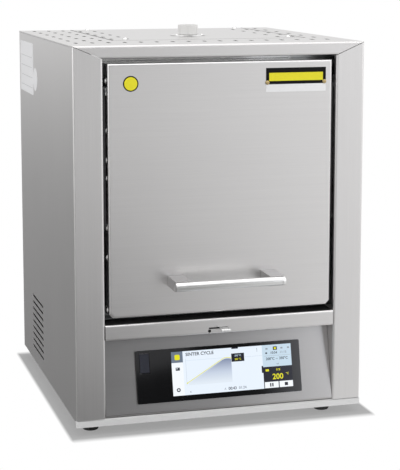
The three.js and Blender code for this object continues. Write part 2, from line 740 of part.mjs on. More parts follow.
function makeDisplay() {
  const back = -seatGap;
  const front = back - glassThickness;
  const top = glassBottom + glassHeight;
  const slab = extrude(roundedBox(-glassHalf, glassHalf, glassBottom, top, sheet), 'y', front, back);
  const flapHole = box(flapLeft - flapGap, flapLeft + flapWidth + flapGap, front - overrun, back + overrun,
    flapBottom - flapGap - flapThickness / 2, flapBottom + flapHeight + flapGap);
  add('display_glass', cut(slab, flapHole), blackGlass, slope);

  const halfModule = glassHalf - moduleMargin;
  const body = box(-halfModule, halfModule, 0, moduleDepth, glassBottom + moduleMargin, top - moduleMargin);
  const socketX = flapLeft + flapWidth / 2;
  const socket = box(socketX - socketWidth / 2, socketX + socketWidth / 2, -overrun, socketDepth,
    flapBottom + flapHeight / 2 - socketHeight / 2, flapBottom + flapHeight / 2 + socketHeight / 2);
  add('display_module', cut(body, socket), darkPlastic, slope);

  const radius = flapThickness / 2;
  const axisY = front + radius;
  const blade = [...arcPoints(axisY, flapBottom, radius, Math.PI, Math.PI, 6),
    new THREE.Vector2(axisY + radius, flapBottom + flapHeight),
    new THREE.Vector2(axisY - radius, flapBottom + flapHeight)];
  const flap = extrude(new THREE.Shape().setFromPoints(blade), 'x', flapLeft, flapLeft + flapWidth);
  add('port_flap', flap, navyPlastic, slope);
}

// Door

// Outline of the door set in on every side, with its lower corners cut.
function doorOutline(inset) {
  const half = doorHalf - inset;
  const low = doorBottom + inset;
  const high = doorTop - inset;
  return [[-half + doorCornerCut, low], [half - doorCornerCut, low], [half, low + doorCornerCut],
    [half, high], [-half, high], [-half, low + doorCornerCut]];
}

// Pan of the door, open at the back, with folded edges that roll into its face.
function makeDoorSkin() {
  const roll = Array.from({ length: arcFacets + 1 }, (_, i) => ((i / arcFacets) * Math.PI) / 2);
  const stations = roll.map((angle) => [doorEdgeRadius * (1 - Math.sin(angle)),
    frontY + doorEdgeRadius * (1 - Math.cos(angle))]);
  const rings = [...stations, [0, doorBackY]].map(([inset, y]) => doorOutline(inset)
    .map(([x, z]) => new THREE.Vector3(x, y, z)));
  const pocket = extrude(polygon(doorOutline(sheet)), 'y', frontY + sheet, doorBackY + overrun);
  const shell = cut(loft(rings), pocket);
  const holes = doorPivots().flatMap(([y, z]) => rod('x', pinRadius + pinClear,
    -doorHalf - overrun, doorHalf + overrun, [0, y, z], elementSides));
  add('door_skin', cut(shell, holes), steel);
}

const doorPivots = () => [[upperPivotY, upperPivotZ - armLength], [lowerPivotY, lowerPivotZ - armLength]];
const housingPivots = () => [[upperPivotY, upperPivotZ], [lowerPivotY, lowerPivotZ]];

// Folded pan that closes the back of the door round the plug.
function makeDoorBackPan() {
  const half = doorHalf - sheet - seatGap;
  const low = doorBottom + sheet + seatGap + doorCornerCut;
  const high = doorTop - sheet - seatGap;
  const outer = box(-half, half, doorBackY - panFlange, doorBackY, low, high);
  const inner = box(-half + sheet, half - sheet, doorBackY - panFlange - overrun, doorBackY - sheet,
    low + sheet, high - sheet);
  const window = plugStepHalf + seatGap;
  const hole = extrude(roundedBox(-window, window, chamberHeightAt - window, chamberHeightAt + window,
    plugCornerRadius), 'y', doorBackY - panFlange - overrun, doorBackY + overrun);
  const pinSlots = doorPivots().map(([y, z]) => rod('x', pinHeadRadius + seatGap,
    -half - overrun, half + overrun, [0, y, z], elementSides));
  const railRelief = [-1, 1].map((side) => onSide(side, box(half - sheet - doorRailThickness - seatGap,
    half + overrun, doorBackY - panFlange - overrun, doorBackY - sheet - seatGap,
    low - overrun, upperPivotZ - armLength + hingePlateMargin + seatGap)));
  add('door_back_pan', cut(outer, inner, hole, pinSlots, railRelief), steel);
}

function squareRing(half, y, radius) {
  const corner = Math.min(radius, half / 2);
  return roundedBox(-half, half, chamberHeightAt - half, chamberHeightAt + half, corner)
    .getPoints().slice(0, 4 * (arcFacets + 1)).map((point) => new THREE.Vector3(point.x, y, point.y));
}

function makeDoorPlug() {
  const stepY = collarFront - seatGap;
  const plug = loft([squareRing(plugStepHalf, frontY + plugInset, plugCornerRadius),
    squareRing(plugStepHalf, stepY, plugCornerRadius), squareRing(plugRootHalf, stepY, plugCornerRadius),
    squareRing(plugRootHalf - plugTaper, stepY + plugLength, plugCornerRadius)]);
  add('door_plug', plug, fibre);
}

function makeHandle() {
  const barY = frontY - handleStandoff;
  const half = handleLength / 2;
  const seam = half - handleCapLength;
  const profile = [[0, -half], [handleRadius, -half], [handleRadius, seam],
    [handleRadius - handleCapGroove, seam], [handleRadius - handleCapGroove, seam + handleCapGroove * 2],
    [handleRadius, seam + handleCapGroove * 2], [handleRadius, half], [0, half]];
  const bar = revolve(profile, 'x', [0, barY, handleZ]);
  add('handle_bar', bar, polished);
  for (const [side, name] of [[-1, 'handle_post_left'], [1, 'handle_post_right']]) {
    const x = side * (half - postWidth / 2);
    const block = box(x - postWidth / 2, x + postWidth / 2, barY, frontY - seatGap,
      handleZ - postHeight / 2, handleZ + postHeight / 2);
    const seat = rod('x', handleRadius + seatGap, x - postWidth, x + postWidth, [0, barY, handleZ]);
    add(name, cut(block, seat), steel);
  }
}

// Linkage

function makeArms() {
  const arms = [['upper_arm', upperPivotY, upperPivotZ], ['lower_arm', lowerPivotY, lowerPivotZ]];
  for (const [name, y, z] of arms) {
    const shape = slotShape(y, z - armLength / 2, armLength + armWidth, armWidth, false, 8);
    const bores = [z, z - armLength].map((height) => rod('x', pinRadius + boreClear, armInner - overrun,
      armOuter + overrun, [0, y, height]));
    const arm = cut(extrude(shape, 'x', armInner, armOuter), bores);
    add(`${name}_right`, arm, zinc);
    add(`${name}_left`, mirrorX(arm), zinc);
  }
}

// Angle plate on the front plate, with the two housing pins and their heads.
function makeHingePlates() {
  const back = plateFront - seatGap;
  const line = [[doorwayHalf, frontY + stileReturn + seatGap], [doorwayHalf, back],
    [doorwayHalf + hingeFlange, back]];
  const angle = extrude(foldedSheet(line, hingePlateThickness, bendRadius), 'z',
    lowerPivotZ - hingePlateMargin, upperPivotZ + hingePlateMargin);
  const headInner = doorHalf + seatGap;
  const pins = housingPivots().map(([y, z]) => join(
    rod('x', pinRadius, headInner, doorwayHalf + hingePlateThickness / 2, [0, y, z]),
    rod('x', pinHeadRadius, headInner, headInner + pinHead, [0, y, z])));
  const plate = join(angle, pins);
  add('hinge_plate_right', plate, zinc);
  add('hinge_plate_left', mirrorX(plate), zinc);
}

// Flat bar inside each side of the door, with the two door pins and their heads.
function makeDoorRails() {
  const outer = doorHalf - sheet - seatGap;
  const inner = outer - doorRailThickness;
  const [[upperY, upperZ], [lowerY, lowerZ]] = doorPivots();
  const midY = (upperY + lowerY) / 2;
  const rail = box(inner, outer, midY - pivotStagger / 2 - doorRailHalf / 2, doorBackY - sheet - 2 * seatGap,
    doorBottom + sheet + doorCornerCut + seatGap, upperZ + hingePlateMargin);
  const headOuter = doorwayHalf - seatGap;
  const pins = [[upperY, upperZ], [lowerY, lowerZ]].map(([y, z]) => join(
    rod('x', pinRadius, inner + doorRailThickness / 2, headOuter, [0, y, z]),
    rod('x', pinHeadRadius, headOuter - pinHead, headOuter, [0, y, z])));
  const bar = join(rail, pins);
  add('door_rail_right', bar, zinc);
  add('door_rail_left', mirrorX(bar), zinc);
}

// Chamber

function makeFrontPlate() {
  const half = halfWidth - sheet - seatGap;
  const plate = box(-half, half, plateFront, plateBack, deckTop + seatGap, sideTop);
  const window = plugStepHalf + plugStepClear;
  const hole = extrude(roundedBox(-window, window, chamberHeightAt - window, chamberHeightAt + window,
    plugCornerRadius + plugStepClear), 'y', plateFront - overrun, plateBack + overrun);
  add('front_plate', cut(plate, hole), zinc);
}

function makeMouthCollar() {
  const block = box(-insulationHalf, insulationHalf, collarFront, collarBack,
    insulationBottom, insulationTop);
  const grow = (mouthTaper * overrun) / collarDepth;
  const mouth = loft([squareRing(mouthHalf + grow, collarFront - overrun, plugCornerRadius),
    squareRing(mouthHalf - mouthTaper - grow, collarBack + overrun, plugCornerRadius)]);
  add('mouth_collar', cut(block, mouth), fibre);
}

const elementYs = () => {
  const first = collarBack + elementFirst;
  return [first, first + elementPairPitch];
};
const elementLegs = () => elementYs().flatMap((y) => [y - elementLegPitch / 2, y + elementLegPitch / 2]);

function makeInsulation() {
  const inner = chamberHalf;
  const outer = insulationHalf;
  const slab = (x0, x1, z0, z1) => box(x0, x1, boardFront, boardBack, z0, z1);
  add('insulation_floor', slab(-outer, outer, insulationBottom, chamberBottom - seatGap), fibre);
  add('insulation_left', slab(-outer, -inner, chamberBottom, chamberTop), fibre);
  add('insulation_right', slab(inner, outer, chamberBottom, chamberTop), fibre);
  const legs = [-elementX, elementX].flatMap((x) => elementLegs().map((y) => rod('z', elementBore,
    chamberTop - overrun, insulationTop + overrun, [x, y, 0], elementSides)));
  const flue = rod('z', flueRadius + seatGap, chamberTop - overrun, insulationTop + overrun,
    [flueX, flueY, 0], flueFacets);
  add('insulation_roof', cut(slab(-outer, outer, chamberTop + seatGap, insulationTop), legs, flue), fibre);
  const sheath = rod('y', thermoRadius + seatGap, backBoardFront - overrun, backBoardBack + overrun,
    [0, 0, chamberTop - thermoDrop], elementSides * 2);
  const back = box(-outer, outer, backBoardFront, backBoardBack, insulationBottom, insulationTop);
  add('insulation_back', cut(back, sheath), fibre);
}

function makeInnerCasing() {
  const outer = casingHalf + sheet;
  const low = insulationBottom - seatGap;
  const high = insulationTop + seatGap;
  const back = backBoardBack + seatGap;
  const shell = cut(
    box(-outer, outer, collarFront, back + sheet, low - sheet, high + sheet),
    box(-casingHalf, casingHalf, collarFront - overrun, back, low, high));
  const legs = elementLegs();
  const margin = 2 * coldRadius;
  const windows = [-elementX, elementX].map((x) => box(x - margin, x + margin,
    Math.min(...legs) - margin, Math.max(...legs) + margin, high - overrun, high + sheet + overrun));
  const flue = rod('z', flueRadius + seatGap, high - overrun, high + sheet + overrun,
    [flueX, flueY, 0], flueFacets);
  const sheath = rod('y', thermoRadius + seatGap, back - overrun, back + sheet + overrun,
    [0, 0, chamberTop - thermoDrop], elementSides * 2);
  add('inner_casing', cut(shell, windows, flue, sheath), zinc);
}

// U-shaped heating element: thick cold ends through the roof, thin hot zone hanging in the chamber.
function elementRings(x, y) {
  const top = insulationTop + seatGap + sheet + elementTop;
  const shoulder = chamberTop - coldOverlap;
  const bend = elementLegPitch / 2;
  const bendZ = chamberBottom + elementTipClear + bend;
  const half = [];
  const stations = [[top, coldRadius], [shoulder, coldRadius], [shoulder - coldRadius, hotRadius]];
  for (const [z, radius] of stations) half.push({ y: y - bend, z, radius, angle: 0 });
  const arc = Array.from({ length: 9 }, (_, i) => {
    const angle = (Math.PI * i) / 8;
    return { y: y - bend * Math.cos(angle), z: bendZ - bend * Math.sin(angle), radius: hotRadius, angle };
  });
  const returning = stations.map(([z, radius]) => ({ y: y + bend, z, radius, angle: Math.PI })).reverse();
  return [...half, ...arc, ...returning].map((station) => Array.from({ length: elementSides }, (_, i) => {
    const turn = (2 * Math.PI * i) / elementSides;
    const across = station.radius * Math.cos(turn);
    return new THREE.Vector3(x + station.radius * Math.sin(turn),
      station.y + across * Math.cos(station.angle), station.z + across * Math.sin(station.angle));
  }));
}

function makeElements() {
  for (const [side, x] of [['left', -elementX], ['right', elementX]]) {
    elementYs().forEach((y, i) => {
      add(`heating_element_${side}_${i === 0 ? 'front' : 'rear'}`, loft(elementRings(x, y)), element);
    });
    const legs = elementLegs();
    const low = insulationTop + 2 * seatGap + sheet;
    const block = box(x - holderWidth / 2, x + holderWidth / 2, Math.min(...legs) - holderWidth / 2,
      Math.max(...legs) + holderWidth / 2, low, low + holderHeight);
    const bores = legs.map((y) => rod('z', coldRadius + seatGap, low - overrun, low + holderHeight + overrun,
      [x, y, 0], elementSides));
    add(`element_holder_${side}`, cut(block, bores), alumina);
  }
}

function makeHearth() {
  const plate = extrude(roundedBox(-hearthHalf, hearthHalf, boardFront + hearthInset, boardBack - hearthInset,
    2 * sheet), 'z', chamberBottom, chamberBottom + hearthThickness);
  add('hearth_plate', plate, alumina);
  const z = chamberTop - thermoDrop;
  const tip = boardBack - thermoReach;
  const head = backBoardBack + seatGap * 2 + sheet;
  const profile = [[0, tip - thermoRadius], [thermoRadius / 2, tip - thermoRadius / 2], [thermoRadius, tip],
    [thermoRadius, head], [thermoHeadRadius, head], [thermoHeadRadius, head + thermoHeadLength],
    [0, head + thermoHeadLength]];
  add('thermocouple', revolve(profile, 'y', [0, 0, z], elementSides * 2), alumina);
}

function makeFlue() {
  const seat = insulationTop + seatGap * 2 + sheet;
  const foot = chamberTop + 2 * seatGap;
  const flangeTop = seat + flueFlangeHeight;
  const profile = [[flueBore, foot], [flueRadius, foot], [flueRadius, seat],
    [flueFlangeRadius, seat], [flueFlangeRadius, flangeTop], [flueRadius, flangeTop],
    [flueRadius, bodyTop + flueRise], [flueBore, bodyTop + flueRise], [flueBore, foot]];
  add('flue_tube', revolve(profile, 'z', [flueX, flueY, 0], flueFacets), alumina);
  const inner = flueRadius + seatGap;
  const low = bodyTop + seatGap;
  const collar = [[inner, low], [flueCollarRadius, low], [flueCollarRadius, low + flueCollarHeight / 2],
    [inner + flueCollarHeight, low + flueCollarHeight], [inner, low + flueCollarHeight], [inner, low]];
  add('flue_collar', revolve(collar, 'z', [flueX, flueY, 0], flueFacets), steel);
}

function makeDeck() {
  const half = halfWidth - sheet - seatGap;
  const line = [[-half, deckTop - deckFlange], [-half, deckTop], [half, deckTop], [half, deckTop - deckFlange]];
  const back = rearY - 2 * sheet - 2 * seatGap;
  const front = frontY + ledgeDepth - deckOverlap;
  const folded = extrude(foldedSheet(line, sheet, bendRadius), 'y', front, back);
  const railTop = insulationBottom - seatGap - sheet - seatGap;
  const rails = [-deckRailAt, deckRailAt].map((x) => box(x - deckRailWidth / 2, x + deckRailWidth / 2,
    collarFront + deckRailWidth, backBoardBack, deckTop, railTop));
  add('compartment_deck', join(folded, rails), zinc);
}

// Rear fittings

function makeFan() {
  const y1 = rearY - 2 * sheet - 2 * seatGap;
  const y0 = y1 - fanDepth;
  const frame = extrude(roundedBox(fanX - fanHalf, fanX + fanHalf, fanZ - fanHalf, fanZ + fanHalf, 2 * sheet),
    'y', y0, y1);
  const bore = rod('y', fanBore, y0 - overrun, y1 + overrun, [fanX, 0, fanZ], flueFacets);
  const strutDepth = fanStrut;
  const struts = [0, 1, 2].map((i) => {
    const strut = new THREE.BoxGeometry(fanStrut, strutDepth, fanBore + fanStrut);
    strut.translate(0, 0, (fanBore + fanStrut) / 2);
    strut.rotateY((2 * Math.PI * i) / 3);
    strut.translate(fanX, y0 + strutDepth / 2, fanZ);
    return toSolid(strut);
  });
  const motor = rod('y', fanHub - bladeTipClear, y0, y0 + strutDepth, [fanX, 0, fanZ]);
  const shaft = rod('y', fanStrut / 2, y0, y1 - fanDepth / 3, [fanX, 0, fanZ], 12);
  add('fan_frame', join(cut(frame, bore), struts, motor, shaft), darkPlastic);

  const hubFront = y0 + strutDepth + seatGap;
  const hubBack = y1 - sheet;
  const hub = cut(rod('y', fanHub, hubFront, hubBack, [fanX, 0, fanZ]),
    rod('y', fanStrut / 2 + seatGap, hubFront - overrun, y1 - fanDepth / 3 + seatGap, [fanX, 0, fanZ], 12));
  const blades = Array.from({ length: fanBladeCount }, (_, i) => fanBlade(
    (2 * Math.PI * i) / fanBladeCount, hubFront + sheet, hubBack - sheet));
  add('fan_rotor', join(hub, blades), darkPlastic);
}

// One pitched blade from inside the hub to just short of the bore.
function fanBlade(turn, y0, y1) {
  const reach = [fanHub - bladeTipClear, fanBore - bladeTipClear];
  const rings = reach.map((radius, i) => {
    const half = bladeAngles[i];
    const corners = [[-half, y0], [half, y1 - bladeThickness], [half, y1], [-half, y0 + bladeThickness]];
    return corners.map(([angle, y]) => new THREE.Vector3(fanX + radius * Math.sin(turn + angle), y,
      fanZ + radius * Math.cos(turn + angle)));
  });
  return loft(rings);
}

// Punched finger guard over the fan: rings joined by a cross.
function makeFanGuard() {
  const y0 = rearY - sheet;
  const plate = extrude(roundedBox(fanX - guardHalf, fanX + guardHalf, fanZ - guardHalf, fanZ + guardHalf,
    2 * sheet), 'y', y0, y0 + guardThickness);
  const holes = [];
  const step = (fanBore - fanHub / 2) / guardRings;
  for (let ring = 0; ring < guardRings; ring++) {
    const inner = fanHub / 2 + ring * step + guardRib / 2;
    const outer = inner + step - guardRib;
    for (let quarter = 0; quarter < 4; quarter++) {
      const start = (quarter * Math.PI) / 2;
      const outerEdge = Math.asin(guardRib / outer);
      const innerEdge = Math.asin(guardRib / inner);
      const facets = 3 + ring;
      const hole = [...arcPoints(fanX, fanZ, outer, start + outerEdge, Math.PI / 2 - 2 * outerEdge, facets),
        ...arcPoints(fanX, fanZ, inner, start + innerEdge, Math.PI / 2 - 2 * innerEdge, facets).reverse()];
      const shape = new THREE.Shape().setFromPoints(hole);
      holes.push(extrude(shape, 'y', y0 - overrun, y0 + guardThickness + overrun));
    }
  }
  add('fan_guard', cut(plate, holes), polished);
}

function makeInlet() {
  const face = rearY - sheet;
  const plate = rearY - sheet - seatGap;
  const flange = box(inletX - inletWidth / 2, inletX + inletWidth / 2, face, face + inletFlange,
    inletZ - inletHeight / 2, inletZ + inletHeight / 2);
  const half = inletWidth / 2 - inletWall;
  const halfZ = inletHeight / 2 - inletWall;
  const body = box(inletX - half, inletX + half, plate - inletDepth, face + inletFlange,
    inletZ - halfZ, inletZ + halfZ);
  const recess = extrude(polygonBox(inletX, inletZ, half - sheet, halfZ - sheet), 'y',
    plate - inletDepth + 2 * sheet, face + inletFlange + overrun);
  const pins = spread(3, inletPinPitch).map((x) => extrude(
    polygonBox(inletX + x, inletZ, inletPinWidth / 2, inletPinHeight / 2), 'y', plate - inletDepth, face));
  add('mains_inlet', join(cut(join(flange, body), recess), pins), darkPlastic);
}

function makeSwitch() {
  const face = rearY - sheet;
  const plate = rearY - sheet - seatGap;
  const halfX = switchWidth / 2;
  const halfZ = switchHeight / 2;
  const bezel = box(inletX - halfX, inletX + halfX, face, face + sheet, switchZ - halfZ, switchZ + halfZ);
  const bodyX = halfX - switchBezel;
  const bodyZ = halfZ - switchBezel;
  const body = box(inletX - bodyX, inletX + bodyX, plate - switchDepth, face + sheet,
    switchZ - bodyZ, switchZ + bodyZ);
  const rockerX = bodyX - rockerWall / 2;
  const rockerZ = bodyZ - rockerWall / 2;
  const pocket = extrude(polygonBox(inletX, switchZ, rockerX + seatGap, rockerZ + seatGap), 'y',
    plate - switchDepth / 2, face + overrun);
  add('switch_frame', cut(join(bezel, body), pocket), darkPlastic);

  const tilt = THREE.MathUtils.degToRad(rockerTilt);
  const depth = rockerZ * Math.sin(tilt);
  const axisY = face - rockerWall;
  const reach = rockerZ * Math.cos(tilt) - seatGap;
  const crest = axisY + sheet + depth / 2;
  const root = axisY - depth * 2;
  const profile = polygon([[root, -reach / 2], [axisY + sheet, -reach], [crest, -reach],
    [axisY + sheet, 0], [crest, reach], [axisY + sheet, reach], [root, reach / 2]]);
  const rocker = toGeometry(extrude(profile, 'x', inletX - rockerX, inletX + rockerX));
  rocker.translate(0, -axisY, 0).rotateX(tilt).translate(0, axisY, switchZ);
  add('switch_rocker', toSolid(rocker), darkPlastic);
}

// Electrical pieces

function makeTransformer() {
  const z0 = trayFloorTop + seatGap;
  const y0 = transformerY - coreDepth / 2;
  const y1 = transformerY + coreDepth / 2;
  const midZ = z0 + coreHeight / 2;
  const windowHalfZ = coreHeight / 2 - coreYoke;
  const windowX = coreLimb / 2 + coilSide / 2;
  const windows = [-windowX, windowX].map((x) => extrude(
    polygonBox(transformerX + x, midZ, coilSide / 2, windowHalfZ), 'y', y0 - overrun, y1 + overrun));
  const core = box(transformerX - coreWidth / 2, transformerX + coreWidth / 2, y0, y1, z0, z0 + coreHeight);
  add('transformer_core', cut(core, windows), laminate);
  const coilHalf = coreLimb / 2 + coilSide - seatGap;
  const outer = roundedBox(transformerX - coilHalf, transformerX + coilHalf,
    y0 - coilBulge, y1 + coilBulge, coilSide / 2);
  const bore = box(transformerX - coreLimb / 2 - seatGap, transformerX + coreLimb / 2 + seatGap,
    y0 - seatGap, y1 + seatGap, z0, z0 + coreHeight);
  const coil = cut(extrude(outer, 'z', midZ - windowHalfZ + seatGap, midZ + windowHalfZ - seatGap), bore);
  add('transformer_coil', coil, copper);
}

function makePowerController() {
  const z0 = trayFloorTop + seatGap;
  const finStep = (sinkWidth - sinkFin) / (sinkFins - 1);
  const points = [[-sinkWidth / 2, z0], [sinkWidth / 2, z0]];
  for (let i = sinkFins - 1; i >= 0; i--) {
    const x = -sinkWidth / 2 + i * finStep;
    points.push([x + sinkFin, z0 + sinkHeight], [x, z0 + sinkHeight]);
    if (i > 0) points.push([x, z0 + sinkBase], [x - finStep + sinkFin, z0 + sinkBase]);
  }
  const sink = extrude(polygon(points.map(([x, z]) => [x + sinkX, z])), 'y', sinkY - sinkLength / 2,
    sinkY + sinkLength / 2);
  add('power_controller', sink, zinc);
}

function makeTerminalBlock() {
  const z0 = trayFloorTop + seatGap;
  const y0 = blockY - blockDepth / 2;
  const y1 = blockY + blockDepth / 2;
  const step = z0 + blockHeight / 2;
  const top = z0 + blockHeight;
  const profile = polygon([[y0, z0], [y1, z0], [y1, step], [y1 - blockCut, step],
    [y1 - blockCut, top], [y0 + blockCut, top], [y0 + blockCut, step], [y0, step]]);
  const body = extrude(profile, 'x', blockX - blockLength / 2, blockX + blockLength / 2);
  const pitch = blockLength / blockWays;
  const wells = spread(blockWays, pitch).map((x) => box(blockX + x - pitch / 4, blockX + x + pitch / 4,
    blockY - blockCut / 2, blockY + blockCut / 2, z0 + blockHeight - blockCut, z0 + blockHeight + overrun));
  add('terminal_block', cut(body, wells), greyPlastic);
}

makeFeet();
makeBaseTray();
makeSidePanels();
makeTopCover();
makeTopLid();
makeRearPanel();
makeLedge();
makeAirSlider();
makeControlPanel();
makeDisplay();
makeDoorSkin();
makeDoorBackPan();
makeDoorPlug();
makeHandle();
makeArms();
makeHingePlates();
makeDoorRails();
makeFrontPlate();
makeMouthCollar();
makeInsulation();
makeInnerCasing();
makeElements();
makeHearth();
makeFlue();
makeDeck();
makeFan();
makeFanGuard();
makeInlet();
makeSwitch();
makeTransformer();
makePowerController();
makeTerminalBlock();

export default furnace;
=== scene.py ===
import math

import bmesh
import bpy
from bpy.props import FloatProperty, FloatVectorProperty, PointerProperty
from mathutils import Matrix, Vector


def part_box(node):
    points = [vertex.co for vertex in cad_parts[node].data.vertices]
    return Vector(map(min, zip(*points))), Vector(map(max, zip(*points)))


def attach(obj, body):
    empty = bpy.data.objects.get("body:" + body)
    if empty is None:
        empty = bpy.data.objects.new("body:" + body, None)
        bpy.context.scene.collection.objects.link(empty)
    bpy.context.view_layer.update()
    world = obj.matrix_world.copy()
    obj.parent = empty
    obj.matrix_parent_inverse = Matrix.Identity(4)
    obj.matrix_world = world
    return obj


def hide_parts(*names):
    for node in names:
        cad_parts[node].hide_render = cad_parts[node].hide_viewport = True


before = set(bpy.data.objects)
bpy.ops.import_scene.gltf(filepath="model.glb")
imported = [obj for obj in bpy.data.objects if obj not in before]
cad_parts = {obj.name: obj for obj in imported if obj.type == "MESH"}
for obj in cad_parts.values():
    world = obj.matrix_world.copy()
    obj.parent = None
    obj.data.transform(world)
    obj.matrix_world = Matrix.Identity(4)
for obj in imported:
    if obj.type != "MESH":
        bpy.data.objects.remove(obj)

bl_info = {
    "name": "Bench-top sintering furnace",
    "version": (1, 0, 0),
    "blender": (4, 5, 0),
    "location": "3D View > Sidebar > Furnace",
    "description": "Finishes, small fittings, screen picture, camera and studio for a lift-door furnace",
    "category": "Add Mesh",
}

MM = 0.001
PANEL_SLOPE = math.atan2(24.0, 104.7)  # the control panel leans back by this angle
GLASS_THICKNESS = 2.6 * MM
ROUND_STEPS = 64
CORNER_STEPS = 5
SHEET_ROUGHNESS = 0.31
LINES_ACROSS = 1050.0  # scale of the brush lines across the grain
LINES_ALONG = 9.0  # and along it


# Sizes and colours that a user may change


def length(name, description, millimetres, least=0.0):
    """A length that a user may change, given in millimetres with its least value."""
    return FloatProperty(name=name, description=description, default=millimetres * MM, min=least * MM,
                         unit="LENGTH")


class FurnaceSizes(bpy.types.PropertyGroup):
    """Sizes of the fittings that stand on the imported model."""

    screw_radius: length("Screw head radius", "Button head screws of the covers", 3.4, 1.0)
    screw_rise: length("Screw head height", "Height of a button head above its sheet", 1.7, 0.5)
    badge_length: length("Badge length", "Length of the plain badge on the door", 85.7, 10.0)
    badge_height: length("Badge height", "Height of the dark part of the badge", 22.1, 5.0)
    badge_foot: length("Badge foot", "Height of the pale strip under the badge", 10.4, 2.0)
    spot_radius: length("Spot radius", "Radius of the plain yellow spot on the door", 10.4, 2.0)
    film: length("Film thickness", "Thickness of stuck-on plates and films", 0.35, 0.1)
    grain: length("Grain depth", "Depth of the brush lines in the sheet", 0.05)


def tone(name, description, red, green, blue):
    """A colour that a user may change."""
    return FloatVectorProperty(name=name, description=description, default=(red, green, blue),
                               min=0.0, max=1.0, size=3, subtype="COLOR")


class FurnaceColours(bpy.types.PropertyGroup):
    """Base colours of the finishes."""

    steel: tone("Brushed steel", "Housing and door sheet", 0.68, 0.67, 0.667)
    bright: tone("Bright steel", "Tray, handle and guard", 0.8, 0.8, 0.795)
    zinc: tone("Zinc plate", "Inner sheets", 0.44, 0.455, 0.46)
    blackened: tone("Blackened steel", "Arms and rails of the door", 0.035, 0.035, 0.037)
    fibre: tone("Fibre board", "Insulation", 0.82, 0.78, 0.7)
    alumina: tone("Alumina", "Flue, hearth and sheath", 0.72, 0.715, 0.7)
    glass: tone("Black glass", "Display cover", 0.003, 0.0031, 0.0037)
    plastic: tone("Black plastic", "Fan, inlet and switch", 0.018, 0.018, 0.02)
    flap: tone("Flap plastic", "Flap over the port", 0.012, 0.014, 0.026)
    rubber: tone("Rubber", "Feet", 0.012, 0.012, 0.012)
    element: tone("Element", "Heating elements", 0.13, 0.12, 0.115)
    lamination: tone("Lamination", "Transformer core", 0.06, 0.062, 0.066)
    winding: tone("Winding", "Transformer coil", 0.33, 0.11, 0.035)
    aluminium: tone("Aluminium", "Finned power controller", 0.6, 0.61, 0.62)
    terminal: tone("Grey plastic", "Terminal block", 0.3, 0.32, 0.33)
    yellow: tone("Yellow", "Spot, badge stripe and screen marks", 0.86, 0.78, 0.02)
    brass: tone("Brass", "Screws of the badge", 0.52, 0.4, 0.2)
    paper: tone("Film", "Plain stuck-on plates", 0.86, 0.86, 0.865)


def sizes():
    return bpy.context.scene.furnace_sizes


def colour(name, share=1.0):
    """A colour of the furnace as four numbers, made lighter or darker by a share."""
    red, green, blue = getattr(bpy.context.scene.furnace_colours, name)
    return (min(red * share, 1.0), min(green * share, 1.0), min(blue * share, 1.0), 1.0)


def grey(level):
    return (level, level, level, 1.0)


# Node trees written as expressions


class Wire:
    """An output socket; arithmetic on wires adds the Math nodes that work it out."""

    def __init__(self, board, socket):
        self.board = board
        self.socket = socket

    def maths(self, operation, *others):
        return self.board.node("ShaderNodeMath", (self, *others), {"operation": operation})

    def held(self):
        """The same value, kept between nought and one."""
        return self.board.node("ShaderNodeMath", (self, 0.0), {"operation": "ADD", "use_clamp": True})

    def __add__(self, other):
        return self.maths("ADD", other)

    def __sub__(self, other):
        return self.maths("SUBTRACT", other)

    def __rsub__(self, other):
        return self.board.node("ShaderNodeMath", (other, self), {"operation": "SUBTRACT"})

    def __mul__(self, other):
        return self.maths("MULTIPLY", other)

    def __gt__(self, other):
        return self.maths("GREATER_THAN", other)

    def __lt__(self, other):
        return self.maths("LESS_THAN", other)

    def __abs__(self):
        return self.maths("ABSOLUTE")

    __radd__ = __add__
    __rmul__ = __mul__


class Board:
    """The node tree of one finish or of the world."""

    def __init__(self, tree):
        self.tree = tree
        tree.nodes.clear()

    def node(self, kind, values=(), settings=None, output=0):
        """Adds a shader node: its settings first, then the values or wires of its sockets."""
        made = self.tree.nodes.new(kind)
        for name, value in (settings or {}).items():
            setattr(made, name, value)
        pairs = values.items() if isinstance(values, dict) else enumerate(values)
        for key, value in pairs:
            if isinstance(value, Wire):
                self.tree.links.new(value.socket, made.inputs[key])
            else:
                made.inputs[key].default_value = value
        return Wire(self, made.outputs[output]) if len(made.outputs) else None

    def place(self, stretch=(1.0, 1.0, 1.0)):
        """Object coordinates, stretched."""
        point = self.node("ShaderNodeTexCoord", output="Object")
        return self.node("ShaderNodeMapping", {"Vector": point, "Scale": stretch})

    def axes(self):
        """The three object coordinates, one wire each: across, deep and level."""
        point = self.node("ShaderNodeTexCoord", output="Object")
        return [self.node("ShaderNodeSeparateXYZ", {0: point}, output=i) for i in range(3)]

    def noise(self, scale, detail, roughness=0.5, stretch=(1.0, 1.0, 1.0)):
        return self.node("ShaderNodeTexNoise", {"Vector": self.place(stretch), "Scale": scale,
                                                "Detail": detail, "Roughness": roughness})

    def ramp(self, factor, *stops):
        made = self.node("ShaderNodeValToRGB", {0: factor})
        elements = made.socket.node.color_ramp.elements
        while len(elements) < len(stops):
            elements.new(1.0)
        for element, (place, shade) in zip(elements, stops):
            element.position = place
            element.color = shade
        return made

    def mix(self, factor, first, second):
        return self.node("ShaderNodeMix", {0: factor, 6: first, 7: second}, {"data_type": "RGBA"}, 2)

    def tint(self, factor, name, dark, light):
        """A colour of the furnace between two shares of itself."""
        return self.mix(factor, colour(name, dark), colour(name, light))

    def bump(self, relief, distance, strength):
        return self.node("ShaderNodeBump", {"Strength": strength, "Distance": distance, "Height": relief})

    def surface(self, **values):
        """The Principled shader, fed by socket names written with underscores, and its output."""
        named = {key.replace("_", " "): value for key, value in values.items()}
        self.node("ShaderNodeOutputMaterial", {0: self.node("ShaderNodeBsdfPrincipled", named)})


# Finishes


